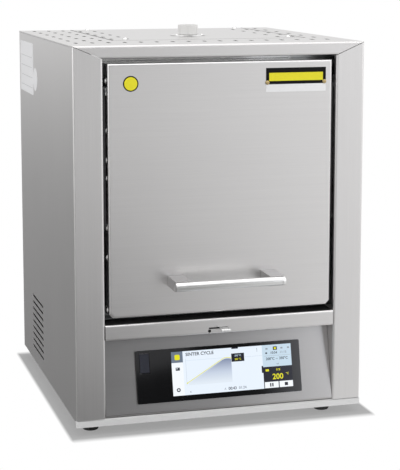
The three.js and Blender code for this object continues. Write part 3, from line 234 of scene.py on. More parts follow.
def brushed(board, name, along, rough=SHEET_ROUGHNESS, spread=0.1, share=1.0, edge=None, painted_dark_mask=None,
            dull=None, polish=None):
    """Brushed sheet with its grain along one axis: fine lines, soft clouds and a light relief. Where a
    mask is given for them, edges are painted brighter as painted highlights, places are painted near black
    (painted shade in walls of holes and seams), bends are duller and hidden faces smooth."""
    stretch = [LINES_ALONG if axis == along else LINES_ACROSS for axis in "xyz"]
    lines = board.noise(1.0, 3.0, 0.6, stretch)
    streaks = board.noise(1.0, 2.0, stretch=[value * 0.16 for value in stretch])
    clouds = board.noise(7.0, 3.0)
    mask = lines * 0.5 + streaks * 0.25 + clouds * 0.25
    sheet = board.tint(mask, name, share * (1.0 - spread), share * (1.0 + spread))
    roughness = mask * 0.16 + (rough - 0.08)
    if edge:
        # painted highlight: the masked edges are painted brighter than the sheet
        sheet = board.mix(edge.held(), sheet, colour(name, 1.4))
    # painted near black and not metallic; in walls of holes and seams this is painted shade
    if painted_dark_mask:
        sheet = board.mix(painted_dark_mask, sheet, colour("blackened", 0.3))
        roughness = roughness + painted_dark_mask * 0.6
    if dull:
        roughness = roughness + dull * 0.3
    if polish:
        roughness = roughness * (1.0 - polish * 0.75)
    board.surface(
        Base_Color=sheet,
        Metallic=1.0 - painted_dark_mask if painted_dark_mask else 1.0,
        Roughness=roughness,
        Normal=board.bump(lines, sizes().grain, 0.35))


def brushed_panel(board):
    """Sheet of the control panel, painted darker than the housing steel as painted shade, with a painted
    highlight brighter towards its right end.
    """
    # painted shade: the steel at 0.46 of its tone; painted highlight growing towards the right end
    brushed(board, "steel", "x", share=0.46, edge=board.axes()[0] * 1.7)


def brushed_side(board):
    """Side sheet, with a painted highlight along its front bend."""
    highlight_band = 1.1 * MM
    low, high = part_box("right_side_panel")
    across, deep, _ = board.axes()
    # painted highlight along the front bend
    brushed(board, "steel", "z", 0.34, edge=(abs(across) > high.x - highlight_band) * (deep < low.y + highlight_band))


def brushed_door(board):
    """Door sheet, with painted highlights along its rolled edges, and smooth on top."""
    highlight_band = 1.2 * MM
    low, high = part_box("door_skin")
    across, deep, level = board.axes()
    # painted highlights along the side, top and bottom edges; the top face is only made smoother
    edge = (abs(across) > high.x - 1.3 * MM) + (level > high.z - highlight_band) + (level < low.z + highlight_band)
    top = (level > high.z - 0.1 * MM) * (deep > low.y + 3.0 * MM)
    brushed(board, "steel", "x", edge=edge, polish=top)


def folded_ledge(board):
    """Ledge sheet, with painted highlights along both bends, the walls of its slots painted near black as
    painted shade, and a black strip on its top under the door.
    """
    low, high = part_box("ledge")
    _, deep, level = board.axes()
    # painted highlights along both bends
    edge = (level > high.z - 1.3 * MM) + (level < low.z + 1.1 * MM)
    # painted shade in the walls of the slots; the strip under the door is painted black as well
    walls = (level > high.z - 1.6 * MM) * (deep > low.y + 3.4 * MM)
    strip = (level > high.z - 0.3 * MM) * (deep > low.y + 2.4 * MM)
    brushed(board, "steel", "x", edge=edge, painted_dark_mask=walls.maths("MAXIMUM", strip))


def vented_cover(board):
    """Top sheets, painted near black inside their slots and along the lid's seams as painted shade, with a
    dull front bend.
    """
    bend = 3.2 * MM
    low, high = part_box("top_cover")
    across, deep, level = board.axes()
    # painted shade: the walls of the slots and the seams round the lid are painted near black
    walls = ((level < high.z - 0.15 * MM) * (deep > low.y + 5.0 * MM) * (deep < high.y - 3.0 * MM)
             * (abs(across) < high.x - 3.0 * MM))
    first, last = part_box("top_lid")
    beside = abs(across - first.x).maths("MINIMUM", abs(across - last.x))
    front = (abs(deep - first.y) < 1.1 * MM) * (across > first.x) * (across < last.x)
    seam = ((beside < 0.8 * MM) * (deep > first.y)).maths("MAXIMUM", front)
    brushed(board, "steel", "x", painted_dark_mask=walls.maths("MAXIMUM", seam * 0.75),
            dull=(level > high.z - bend) * (deep < low.y + bend))


def satin_tray(board):
    """Light satin sheet of the tray, painted lighter at its left and darker towards its right as painted
    light and shade, with its sides in the darker steel colour as painted shade and fully metallic.
    """
    rim = 0.4 * MM
    low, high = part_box("base_tray")
    across, deep, _ = board.axes()
    sides = ((across - low.x) < rim).maths("MAXIMUM", (high.x - across) < rim)
    sides = sides * (deep > low.y + 5.0 * MM)
    clouds = board.noise(1.0, 3.0, stretch=(6.0, 60.0, 60.0))
    # painted light and shade: lighter at the left end, darker towards the right
    drift = (across - low.x) * (0.7 / (high.x - low.x)) + clouds * 0.3
    front = board.tint(drift, "bright", 1.2, 0.88)
    board.surface(
        # painted shade: the sides take the darker steel colour
        Base_Color=board.mix(sides, front, colour("steel")),
        Metallic=sides * 0.5 + 0.5,
        Roughness=clouds * 0.1 + 0.38)


def shutter(board):
    """Bright tongue in front of the ledge; the plate behind it is painted near black as painted shade."""
    hidden = board.axes()[1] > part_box("ledge")[0].y + 0.3 * MM
    lines = board.noise(1.0, 3.0, stretch=(LINES_ALONG, LINES_ACROSS, LINES_ACROSS))
    board.surface(
        # painted shade: the plate behind the ledge is painted near black
        Base_Color=board.mix(hidden, colour("bright", 0.86), colour("blackened", 0.15)),
        Metallic=1.0 - hidden,
        Roughness=lines * 0.1 + 0.32)


def mottled(board, noise, name, dark, light, rough, spread, **values):
    """A surface whose tone and roughness follow one noise."""
    board.surface(Base_Color=board.tint(noise, name, dark, light), Roughness=noise * spread + rough,
                  **values)


def polished_bar(board):
    """Fine turned grain round the handle bar."""
    lines = board.noise(1.0, 2.0, stretch=(1400.0, 20.0, 20.0))
    mottled(board, lines, "bright", 0.96, 1.08, 0.26, 0.08, Metallic=1.0,
            Normal=board.bump(lines, 0.02 * MM, 0.3))


def zinc_plate(board, share=1.0, polish=None):
    """Zinc-plated sheet with a soft spangle and duller patches, with a painted highlight in the bright
    steel colour, and smoother, where a mask is given.
    """
    spangle = board.node("ShaderNodeTexVoronoi", {"Vector": board.place(), "Scale": 150.0})
    patches = board.noise(24.0, 4.0)
    mask = spangle * 0.4 + patches * 0.6
    plate = board.tint(mask, "zinc", 0.84 * share, 1.12 * share)
    roughness = patches * 0.2 + 0.33
    if polish:
        # painted highlight: the masked band is painted in the bright steel colour
        plate = board.mix(polish, plate, colour("bright"))
        roughness = roughness * (1.0 - polish * 0.8)
    board.surface(Base_Color=plate, Metallic=0.95, Roughness=roughness)


def edge_zinc(board):
    """Zinc-plated sheet of the bulkhead, with a painted highlight along its top edge, less so at its right
    end.
    """
    across, _, level = board.axes()
    highlight_fade = ((across - 45.0 * MM) * 8.0).held()
    # painted highlight along the top edge, fading out towards the right end
    zinc_plate(board, polish=(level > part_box("door_skin")[1].z - 6.0 * MM) * (1.0 - highlight_fade))


def blackened(board):
    """Black oxide finish, rubbed a little brighter in patches."""
    mottled(board, board.noise(90.0, 4.0), "blackened", 1.0, 2.3, 0.34, 0.2, Metallic=0.7)


def fibre_board(board):
    """Vacuum-formed fibre board, matt and pitted."""
    pits = board.noise(520.0, 5.0, 0.65)
    felt = board.noise(60.0, 4.0, stretch=(1.0, 1.0, 2.4))
    mask = pits * 0.45 + felt * 0.55
    board.surface(
        Base_Color=board.tint(mask, "fibre", 0.84, 1.08),
        Roughness=0.96,
        Specular_IOR_Level=0.15,
        Normal=board.bump(mask, 0.5 * MM, 0.5))


def fired_alumina(board):
    """Fired white ceramic with a fine pore and a faint warm cast."""
    pores = board.noise(800.0, 3.0)
    warm = board.noise(30.0, 2.0)
    board.surface(
        Base_Color=board.tint(warm, "alumina", 0.94, 1.05),
        Roughness=pores * 0.15 + 0.38,
        Normal=board.bump(pores, 0.06 * MM, 0.4))


def gloss_glass(board):
    """Gloss black cover glass with the faintest wipe marks."""
    wipes = board.noise(1.0, 3.0, stretch=(30.0, 30.0, 8.0))
    mottled(board, wipes, "glass", 0.8, 1.3, 0.04, 0.03, Specular_IOR_Level=0.8)


def moulded(board, name, rough, relief=0.08):
    """Fine-eroded moulded plastic in one colour."""
    erosion = board.noise(1500.0, 3.0)
    mottled(board, board.noise(45.0, 3.0), name, 0.86, 1.18, rough, 0.1,
            Normal=board.bump(erosion, relief * MM, 0.5))


def element_skin(board):
    """Dull grey element with a glassy skin in patches."""
    mottled(board, board.noise(140.0, 4.0), "element", 0.8, 1.3, 0.35, 0.3, Metallic=0.35)


def laminated(board):
    """Stacked and varnished core plates, 0.9 mm each."""
    plates = (board.axes()[1] * (math.tau / (0.9 * MM))).maths("SINE")
    varnish = board.noise(70.0, 3.0)
    mask = plates * 0.3 + varnish * 0.7
    board.surface(
        Base_Color=board.tint(mask, "lamination", 0.7, 1.4),
        Metallic=0.6,
        Roughness=varnish * 0.15 + 0.4,
        Normal=board.bump(plates, 0.1 * MM, 0.6))


def wound(board):
    """Enamelled wire of 1.3 mm, wound level round the coil."""
    wires = (board.axes()[2] * (math.tau / (1.3 * MM))).maths("SINE")
    mottled(board, board.noise(50.0, 2.0), "winding", 0.8, 1.2, 0.3, 0.1, Metallic=0.75,
            Normal=board.bump(wires, 0.4 * MM, 0.8))


def film(board, name, rough, share=1.0, shine=0.4, metal=0.0):
    """Thin printed or anodised film in one colour."""
    mottled(board, board.noise(260.0, 3.0), name, 0.95 * share, 1.05 * share, rough, 0.08, Metallic=metal,
            Specular_IOR_Level=shine)


def glowing(board, shade, strength=1.0):
    """A lit part of the screen, under a clear gloss."""
    board.surface(Base_Color=grey(0.01), Emission_Color=shade, Emission_Strength=strength, Roughness=0.12,
                  Specular_IOR_Level=0.4)


def lit(board, red, green, blue):
    """One lit colour of the screen, with the faintest shimmer."""
    deeper = (red * 0.97, green * 0.97, blue * 0.98, 1.0)
    glowing(board, board.mix(board.noise(900.0, 1.0), deeper, (red, green, blue, 1.0)))


def lit_fade(board):
    """The area under the firing curve: blue-grey at the top, gone at the foot."""
    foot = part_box("display_glass")[0].z + 22.0 * MM
    tall = 30.0 * MM
    shade = board.ramp((board.axes()[2] - foot) * (1.0 / tall), (0.0, (0.83, 0.91, 1.0, 1.0)),
                       (0.45, (0.62, 0.7, 0.84, 1.0)), (1.0, (0.25, 0.3, 0.45, 1.0)))
    glowing(board, shade, 0.92)


def both(*names):
    """The left and the right one of each name."""
    return [f"{name}_{side}" for name in names for side in ("left", "right")]


# For each finish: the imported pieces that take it, its maker, and what else the maker is told

FINISHES = {
    "brushed_side": (["left_side_panel", "right_side_panel", "rear_panel"], brushed_side),
    "brushed_level": (["door_back_pan", "flue_collar"], brushed, "steel", "x"),
    "brushed_panel": (["control_panel"], brushed_panel),
    "brushed_door": (["door_skin"], brushed_door),
    "vented_cover": (["top_cover", "top_lid"], vented_cover),
    "satin_tray": (["base_tray"], satin_tray),
    "folded_ledge": (["ledge"], folded_ledge),
    "shutter": (["air_slider"], shutter),
    "brushed_deep": (both("handle_post"), brushed, "steel", "y", 0.32),
    "bright_level": (["fan_guard"], brushed, "bright", "x", 0.24, 0.05),
    "polished_bar": (["handle_bar"], polished_bar),
    "edge_zinc": (["front_plate"], edge_zinc),
    "zinc_plate": (["compartment_deck", *both("hinge_plate", "door_rail")], zinc_plate),
    # painted shade: the inner casing is zinc at a quarter of its tone
    "painted_shade_zinc": (["inner_casing"], zinc_plate, 0.25),
    "blackened": (both("upper_arm", "lower_arm"), blackened),
    "fibre_board": (["door_plug", "mouth_collar", "insulation_floor", "insulation_roof", "insulation_back",
                     *both("insulation")], fibre_board),
    "fired_alumina": (["hearth_plate", "thermocouple", "flue_tube", *both("element_holder")],
                      fired_alumina),
    "gloss_glass": (["display_glass"], gloss_glass),
    "black_plastic": (["display_module", "fan_frame", "fan_rotor", "mains_inlet", "switch_frame",
                       "switch_rocker"], moulded, "plastic", 0.42),
    "flap_plastic": (["port_flap"], moulded, "flap", 0.3),
    "foot_rubber": (both("foot_front", "foot_rear"), moulded, "rubber", 0.7, 0.2),
    "element_skin": ([f"{name}_{end}" for name in both("heating_element") for end in ("front", "rear")],
                     element_skin),
    "laminated": (["transformer_core"], laminated),
    "wound": (["transformer_coil"], wound),
    "aluminium_fins": (["power_controller"], brushed, "aluminium", "y", 0.42, 0.08),
    "terminal_plastic": (["terminal_block"], moulded, "terminal", 0.45),
    "brass_screw": ([], brushed, "brass", "x", 0.3),
    "yellow_film": ([], film, "yellow", 0.34),
    "dark_film": ([], film, "plastic", 0.5, 0.3, 0.12),
    "pale_film": ([], film, "paper", 0.42, 1.0, 0.4, 0.9),
    "white_film": ([], film, "paper", 0.35),
    "grey_film": ([], film, "paper", 0.35, 0.5),
    "lit_white": ([], lit, 0.93, 0.97, 1.0),
    "lit_sheet": ([], lit, 0.83, 0.91, 1.0),
    "lit_column": ([], lit, 0.58, 0.72, 0.83),
    "lit_bar": ([], lit, 0.025, 0.032, 0.05),
    "lit_grey": ([], lit, 0.3, 0.34, 0.39),
    "lit_cell": ([], lit, 0.15, 0.19, 0.25),
    "lit_night": ([], lit, 0.008, 0.009, 0.018),
    "lit_line": ([], lit, 0.5, 0.58, 0.66),
    "lit_yellow": ([], lit, 0.8, 0.76, 0.01),
    "lit_fade": ([], lit_fade),
}


def finish_of(name):
    """The material of a finish, made the first time that it is asked for."""
    made = bpy.data.materials.get(name)
    if made is None:
        made = bpy.data.materials.new(name)
        made.use_nodes = True
        _, maker, *told = FINISHES[name]
        maker(Board(made.node_tree), *told)
    return made


# Modelling


def keep(bm, name, finishes, body, replaced=None, sharp=35.0):
    """Turns a bmesh that is already in place into a named piece on its body."""
    bmesh.ops.recalc_face_normals(bm, faces=bm.faces)
    if any(not edge.is_manifold for edge in bm.edges):
        raise RuntimeError(f"{name} isn't closed")
    mesh = bpy.data.meshes.new(name)
    bm.to_mesh(mesh)
    bm.free()
    for finish in finishes:
        mesh.materials.append(finish_of(finish))
    mesh.polygons.foreach_set("use_smooth", [True] * len(mesh.polygons))
    mesh.set_sharp_from_angle(angle=math.radians(sharp))
    piece = bpy.data.objects.new(name, mesh)
    bpy.context.scene.collection.objects.link(piece)
    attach(piece, body)
    if replaced:
        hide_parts(replaced)


def facing(direction, centre):
    """A frame with its Z along a direction and its origin at a point."""
    turn = Vector(direction).to_track_quat("Z", "Y").to_matrix().to_4x4()
    return Matrix.Translation(centre) @ turn


def turned(bm, profile, place, finish=0, steps=ROUND_STEPS):
    """Spins (radius, height) points, from axis to axis or closed, about the Z of a frame."""
    verts = [bm.verts.new((radius, 0.0, rise)) for radius, rise in profile]
    edges = [bm.edges.new(pair) for pair in zip(verts, verts[1:])]
    known = set(bm.faces)
    bmesh.ops.spin(bm, geom=verts + edges, cent=(0.0, 0.0, 0.0), axis=(0.0, 0.0, 1.0), angle=math.tau,
                   steps=steps, use_merge=True)
    faces = [face for face in bm.faces if face not in known]
    for face in faces:
        face.material_index = finish
    around = list({vert for face in faces for vert in face.verts})
    bmesh.ops.remove_doubles(bm, verts=around, dist=0.5e-6)
    around = list({vert for face in bm.faces if face not in known for vert in face.verts})
    bmesh.ops.transform(bm, matrix=place, verts=around)


def slab(bm, centre, size, thickness, place, finish, corner=0.0, base=0.0):
    """A thin plate, square or with round corners, standing on the XY plane of a frame."""
    verts = bmesh.ops.create_grid(bm, x_segments=1, y_segments=1, size=0.5)["verts"]
    bmesh.ops.scale(bm, vec=(*size, 1.0), verts=verts)
    face = verts[0].link_faces[0]
    if corner:
        known = set(bm.faces) - {face}
        bmesh.ops.bevel(bm, geom=verts, offset=corner, offset_type="OFFSET", segments=CORNER_STEPS,
                        profile=0.5, affect="VERTICES", material=-1)
        face = next(one for one in bm.faces if one not in known)
    prism(bm, face, thickness, place @ Matrix.Translation((*centre, base)), finish)


def outline(bm, points, thickness, place, finish, base):
    """A thin plate with the given corners, standing on the XY plane of a frame."""
    face = bm.faces.new([bm.verts.new((x, y, 0.0)) for x, y in points])
    prism(bm, face, thickness, place @ Matrix.Translation((0.0, 0.0, base)), finish)


def prism(bm, face, thickness, place, finish):
    """Thickens a face of the XY plane and carries it into a frame."""
    start = list(face.verts)
    made = bmesh.ops.extrude_face_region(bm, geom=[face])["geom"]
    top = [item for item in made if isinstance(item, bmesh.types.BMVert)]
    bmesh.ops.translate(bm, vec=(0.0, 0.0, thickness), verts=top)
    for vert in start + top:
        for side in vert.link_faces:
            side.material_index = finish
    bmesh.ops.transform(bm, matrix=place, verts=start + top)


def lettering(bm, words, height, centre, thickness, place, finish, base, align):
    """Raised figures at a point of the XY plane of a frame."""
    curve = bpy.data.curves.new("figures", "FONT")
    curve.body = words
    curve.size = height
    curve.align_x = align
    curve.align_y = "CENTER"
    curve.extrude = thickness / 2.0
    curve.offset = height * 0.02
    curve.resolution_u = 4
    holder = bpy.data.objects.new("figures", curve)
    bpy.context.scene.collection.objects.link(holder)
    bpy.context.view_layer.update()
    mesh = bpy.data.meshes.new_from_object(holder.evaluated_get(bpy.context.evaluated_depsgraph_get()))
    bpy.data.objects.remove(holder)
    bpy.data.curves.remove(curve)
    known = set(bm.verts)
    bm.from_mesh(mesh)
    bpy.data.meshes.remove(mesh)
    fresh = [vert for vert in bm.verts if vert not in known]
    bmesh.ops.remove_doubles(bm, verts=fresh, dist=0.5e-6)
    fresh = [vert for vert in bm.verts if vert not in known]
    for vert in fresh:
        for face in vert.link_faces:
            face.material_index = finish
    lift = Matrix.Translation((*centre, base + thickness / 2.0))
    bmesh.ops.transform(bm, matrix=place @ lift, verts=fresh)


def button_screw(bm, place, share):
    """A button head with a hexagon socket, standing on the XY plane of a frame."""
    radius = sizes().screw_radius * share
    rise = sizes().screw_rise * share
    socket = radius * 0.42
    lip = radius * 0.56
    sides = 24
    rings = []
    heights = ((radius * 0.97, 0.0), (radius, rise * 0.22), (radius * 0.93, rise * 0.55),
               (radius * 0.78, rise * 0.84), (lip, rise), (None, rise), (None, rise * 0.25))
    for around, level in heights:
        ring = bmesh.ops.create_circle(bm, segments=sides, radius=around or socket)["verts"]
        if around is None:
            for step, vert in enumerate(ring):
                swing = math.radians((360.0 / sides * step) % 60.0 - 30.0)
                vert.co *= math.cos(math.radians(30.0)) / math.cos(swing) * 1.12
        bmesh.ops.translate(bm, vec=(0.0, 0.0, level), verts=ring)
        rings.append(ring)
    for lower, upper in zip(rings, rings[1:]):
        for step in range(sides):
            after = (step + 1) % sides
            bm.faces.new((lower[step], lower[after], upper[after], upper[step]))
    bm.faces.new(rings[0])
    bm.faces.new(rings[-1])
    bmesh.ops.transform(bm, matrix=place, verts=[vert for ring in rings for vert in ring])


def screws(name, places, direction, share=1.0, finish="bright_level", body="housing"):
    """One piece that holds all the button screws of a face."""
    bm = bmesh.new()
    for place in places:
        button_screw(bm, facing(direction, place), share)
    keep(bm, name, [finish], body)


def glass_face():
    """The frame of the display glass: origin at the middle of its lower edge, Y up the slope."""
    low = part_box("display_glass")[0]
    origin = (0.0, low.y, low.z + GLASS_THICKNESS * math.sin(PANEL_SLOPE))
    return Matrix.Translation(origin) @ Matrix.Rotation(math.radians(90.0) - PANEL_SLOPE, 4, "X")


# Operators


class FurnaceOperator:
    """What all the operators share."""

    bl_options = {"REGISTER", "UNDO"}


class FURNACE_OT_finishes(FurnaceOperator, bpy.types.Operator):
    """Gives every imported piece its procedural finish."""

    bl_idname = "furnace.finishes"
    bl_label = "Finishes"

    def execute(self, context):
        for finish, (names, *_) in FINISHES.items():
            for name in names:
                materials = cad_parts[name].data.materials
                materials.clear()
                materials.append(finish_of(finish))
        return {"FINISHED"}


class FURNACE_OT_feet(FurnaceOperator, bpy.types.Operator):
    """Turns the four rubber feet."""

    bl_idname = "furnace.feet"
    bl_label = "Feet"

    def execute(self, context):
        for node in both("foot_front", "foot_rear"):
            low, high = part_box(node)
            radius = (high.x - low.x) / 2.0
            rise = high.z - low.z
            recess = radius * 0.33
            profile = [(0.0, rise * 0.43), (recess, rise * 0.43), (recess, 0.0), (radius * 0.82, 0.0),
                       (radius * 0.92, rise * 0.04), (radius * 0.97, rise * 0.12), (radius, rise * 0.26),
                       (radius, rise * 0.94), (radius * 0.96, rise), (0.0, rise)]
            centre = (low + high) / 2.0
            bm = bmesh.new()
            turned(bm, profile, Matrix.Translation((centre.x, centre.y, low.z)))
            keep(bm, f"rubber_{node}", ["foot_rubber"], "housing", node)
        return {"FINISHED"}


class FURNACE_OT_handle(FurnaceOperator, bpy.types.Operator):
    """Turns the handle bar with its pressed-in end cap."""

    bl_idname = "furnace.handle"
    bl_label = "Handle bar"

    def execute(self, context):
        low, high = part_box("handle_bar")
        centre = (low + high) / 2.0
        radius = (high.z - low.z) / 2.0
        half = (high.x - low.x) / 2.0
        soft = 0.7 * MM
        nick = soft * 0.3
        seam = half - 5.5 * MM
        groove = 0.45 * MM
        profile = [(0.0, -half), (radius - soft, -half), (radius - nick, nick - half),
                   (radius, soft - half), (radius, seam), (radius - groove, seam + groove),
                   (radius - groove, seam + 2.0 * groove), (radius, seam + 3.0 * groove),
                   (radius, half - soft), (radius - nick, half - nick), (radius - soft, half), (0.0, half)]
        bm = bmesh.new()
        turned(bm, profile, facing((1.0, 0.0, 0.0), centre), steps=96)
        keep(bm, "handle_grip", ["polished_bar"], "door", "handle_bar", sharp=28.0)
        return {"FINISHED"}


class FURNACE_OT_flue(FurnaceOperator, bpy.types.Operator):
    """Turns the ceramic flue, its sheet collar and the collar's screws."""

    bl_idname = "furnace.flue"
    bl_label = "Flue"

    def execute(self, context):
        low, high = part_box("flue_tube")
        centre = (low + high) / 2.0
        place = Matrix.Translation((centre.x, centre.y, 0.0))
        flange = (high.x - low.x) / 2.0
        flange_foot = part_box("inner_casing")[1].z + 0.3 * MM
        flange_top = flange_foot + 5.0 * MM
        outer = flange * 0.725
        bore = flange * 0.55
        soft = 1.1 * MM
        nick = soft * 0.3
        top = high.z
        profile = [(bore, low.z), (outer, low.z), (outer, flange_foot), (flange, flange_foot),
                   (flange, flange_top), (outer, flange_top), (outer, top - soft),
                   (outer - nick, top - nick), (outer - soft, top), (bore + soft, top),
                   (bore + nick, top - nick), (bore, top - soft), (bore, low.z)]
        bm = bmesh.new()
        turned(bm, profile, place)
        keep(bm, "flue_pipe", ["fired_alumina"], "housing", "flue_tube")

        low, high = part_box("flue_collar")
        rim = (high.x - low.x) / 2.0
        inner = outer + 0.3 * MM
        base = low.z
        tall = high.z - base
        profile = [(inner, base), (rim, base), (rim, base + tall * 0.35),
                   (rim - tall * 0.5, base + tall * 0.5), (inner + tall * 1.3, base + tall * 0.55),
                   (inner + tall * 0.4, base + tall), (inner, base + tall), (inner, base)]
        bm = bmesh.new()
        turned(bm, profile, place)
        keep(bm, "flue_rosette", ["bright_level"], "housing", "flue_collar")
        ring = rim - 4.5 * MM
        places = [(centre.x + math.cos(turn) * ring, centre.y + math.sin(turn) * ring, base + tall * 0.5)
                  for turn in map(math.radians, (205.0, 325.0, 85.0))]
        screws("rosette_screws", places, (0.0, 0.0, 1.0), 0.7)
        return {"FINISHED"}


class FURNACE_OT_cover_screws(FurnaceOperator, bpy.types.Operator):
    """Puts the button screws into the lid, the rear, the cover, the door's side and the fan guard."""

    bl_idname = "furnace.cover_screws"
    bl_label = "Cover screws"

    rear_levels = (0.045, 0.155, 0.27, 0.385, 0.49)
    bolt_levels = (0.478, 0.461, 0.412, 0.372, 0.348, 0.281, 0.241, 0.169)
    cover_places = (-0.165, 0.182)

    def execute(self, context):
        low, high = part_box("top_lid")
        places = [(x, y, high.z) for y in (low.y + 33.0 * MM, high.y - 18.0 * MM)
                  for x in (low.x + 24.0 * MM, high.x - 14.0 * MM)]
        screws("lid_screws", places, (0.0, 0.0, 1.0), 1.15)

        rearward = (0.0, 1.0, 0.0)
        low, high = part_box("left_side_panel")
        edge = abs(low.x) - 7.5 * MM
        places = [(x, high.y, level) for x in (-edge, edge) for level in self.rear_levels]
        screws("rear_screws", places, rearward)
        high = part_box("top_cover")[1]
        places = [(x, high.y, high.z - 6.5 * MM) for x in self.cover_places]
        screws("cover_screws", places, rearward, 0.9)

        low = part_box("door_skin")[0]
        places = [(low.x, low.y + 14.6 * MM, level) for level in self.bolt_levels]
        screws("door_bolts", places, (-1.0, 0.0, 0.0), 1.45, body="door")

        low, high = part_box("fan_guard")
        inset = 5.0 * MM
        places = [(x, high.y, z) for x in (low.x + inset, high.x - inset)
                  for z in (low.z + inset, high.z - inset)]
        screws("guard_screws", places, rearward, 0.72, "blackened")
        return {"FINISHED"}


class FURNACE_OT_badge(FurnaceOperator, bpy.types.Operator):
    """Makes the plain badge, its brass screws and the yellow spot on the door."""

    bl_idname = "furnace.badge"
    bl_label = "Door badge"

    right = 147.5 * MM
    foot = 458.9 * MM
    spot_across = -125.8 * MM
    spot_level = 474.5 * MM

    def execute(self, context):
        size = sizes()
        film = size.film
        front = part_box("door_skin")[0].y
        place = Matrix.Translation((0.0, front, 0.0)) @ Matrix.Rotation(math.radians(90.0), 4, "X")
        middle = self.right - size.badge_length / 2.0
        dark_foot = self.foot + size.badge_foot
        dark_film = film * 1.6
        bm = bmesh.new()
        slab(bm, (middle, (self.foot + dark_foot) / 2.0), (size.badge_length, size.badge_foot), film,
             place, 1)
        slab(bm, (middle, dark_foot + size.badge_height / 2.0), (size.badge_length, size.badge_height),
             dark_film, place, 0)
        slab(bm, (middle, dark_foot + size.badge_height * 0.45),
             (size.badge_length * 0.9, size.badge_height * 0.5), film * 0.4, place, 2, base=dark_film)
        keep(bm, "door_badge", ["dark_film", "pale_film", "yellow_film"], "door")
        places = [(x, front - dark_film, dark_foot + 2.4 * MM)
                  for x in (self.right - size.badge_length + 1.8 * MM, self.right - 2.2 * MM)]
        screws("badge_screws", places, (0.0, -1.0, 0.0), 0.85, "brass_screw", "door")

        spot = size.spot_radius
        bm = bmesh.new()
        axis = facing((0.0, -1.0, 0.0), (self.spot_across, front, self.spot_level))
        turned(bm, [(0.0, 0.0), (spot, 0.0), (spot, film), (spot * 0.98, film * 1.2),
                    (spot * 0.87, film * 1.2), (0.0, film * 1.2)], axis, 1)
        turned(bm, [(0.0, film * 1.25), (spot * 0.85, film * 1.25), (spot * 0.85, film * 1.5),
                    (0.0, film * 1.6)], axis, 0)
        keep(bm, "door_spot", ["yellow_film", "dark_film"], "door")
        return {"FINISHED"}


class FURNACE_OT_side_plates(FurnaceOperator, bpy.types.Operator):
    """Sticks the blank plate and the blank disc on the left side."""

    bl_idname = "furnace.side_plates"
    bl_label = "Side plates"

    plate_across = -165.7 * MM  # positive is forward
    plate_level = 473.0 * MM
    plate_size = (114.0 * MM, 77.0 * MM)
    line_size = (98.0 * MM, 0.5 * MM)
    line_levels = (445.0 * MM, 460.0 * MM, 475.0 * MM, 490.0 * MM)
    disc_radius = 17.0 * MM
    disc_deep = 92.0 * MM
    disc_level = 459.5 * MM

    def execute(self, context):
        film = sizes().film
        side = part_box("left_side_panel")[0].x
        place = Matrix(((0.0, 0.0, -1.0, side), (-1.0, 0.0, 0.0, 0.0), (0.0, 1.0, 0.0, 0.0),
                        (0.0, 0.0, 0.0, 1.0)))
        bm = bmesh.new()
        slab(bm, (self.plate_across, self.plate_level), self.plate_size, film, place, 0, 2.5 * MM)
        for level in self.line_levels:
            slab(bm, (self.plate_across, level), self.line_size, film * 0.3, place, 1, base=film)
        keep(bm, "side_plate", ["white_film", "grey_film"], "housing")
        bm = bmesh.new()
        axis = facing((-1.0, 0.0, 0.0), (side, self.disc_deep, self.disc_level))
        turned(bm, [(0.0, 0.0), (self.disc_radius, 0.0), (self.disc_radius, film), (0.0, film)], axis, 0)
        keep(bm, "side_disc", ["white_film"], "housing")
        return {"FINISHED"}


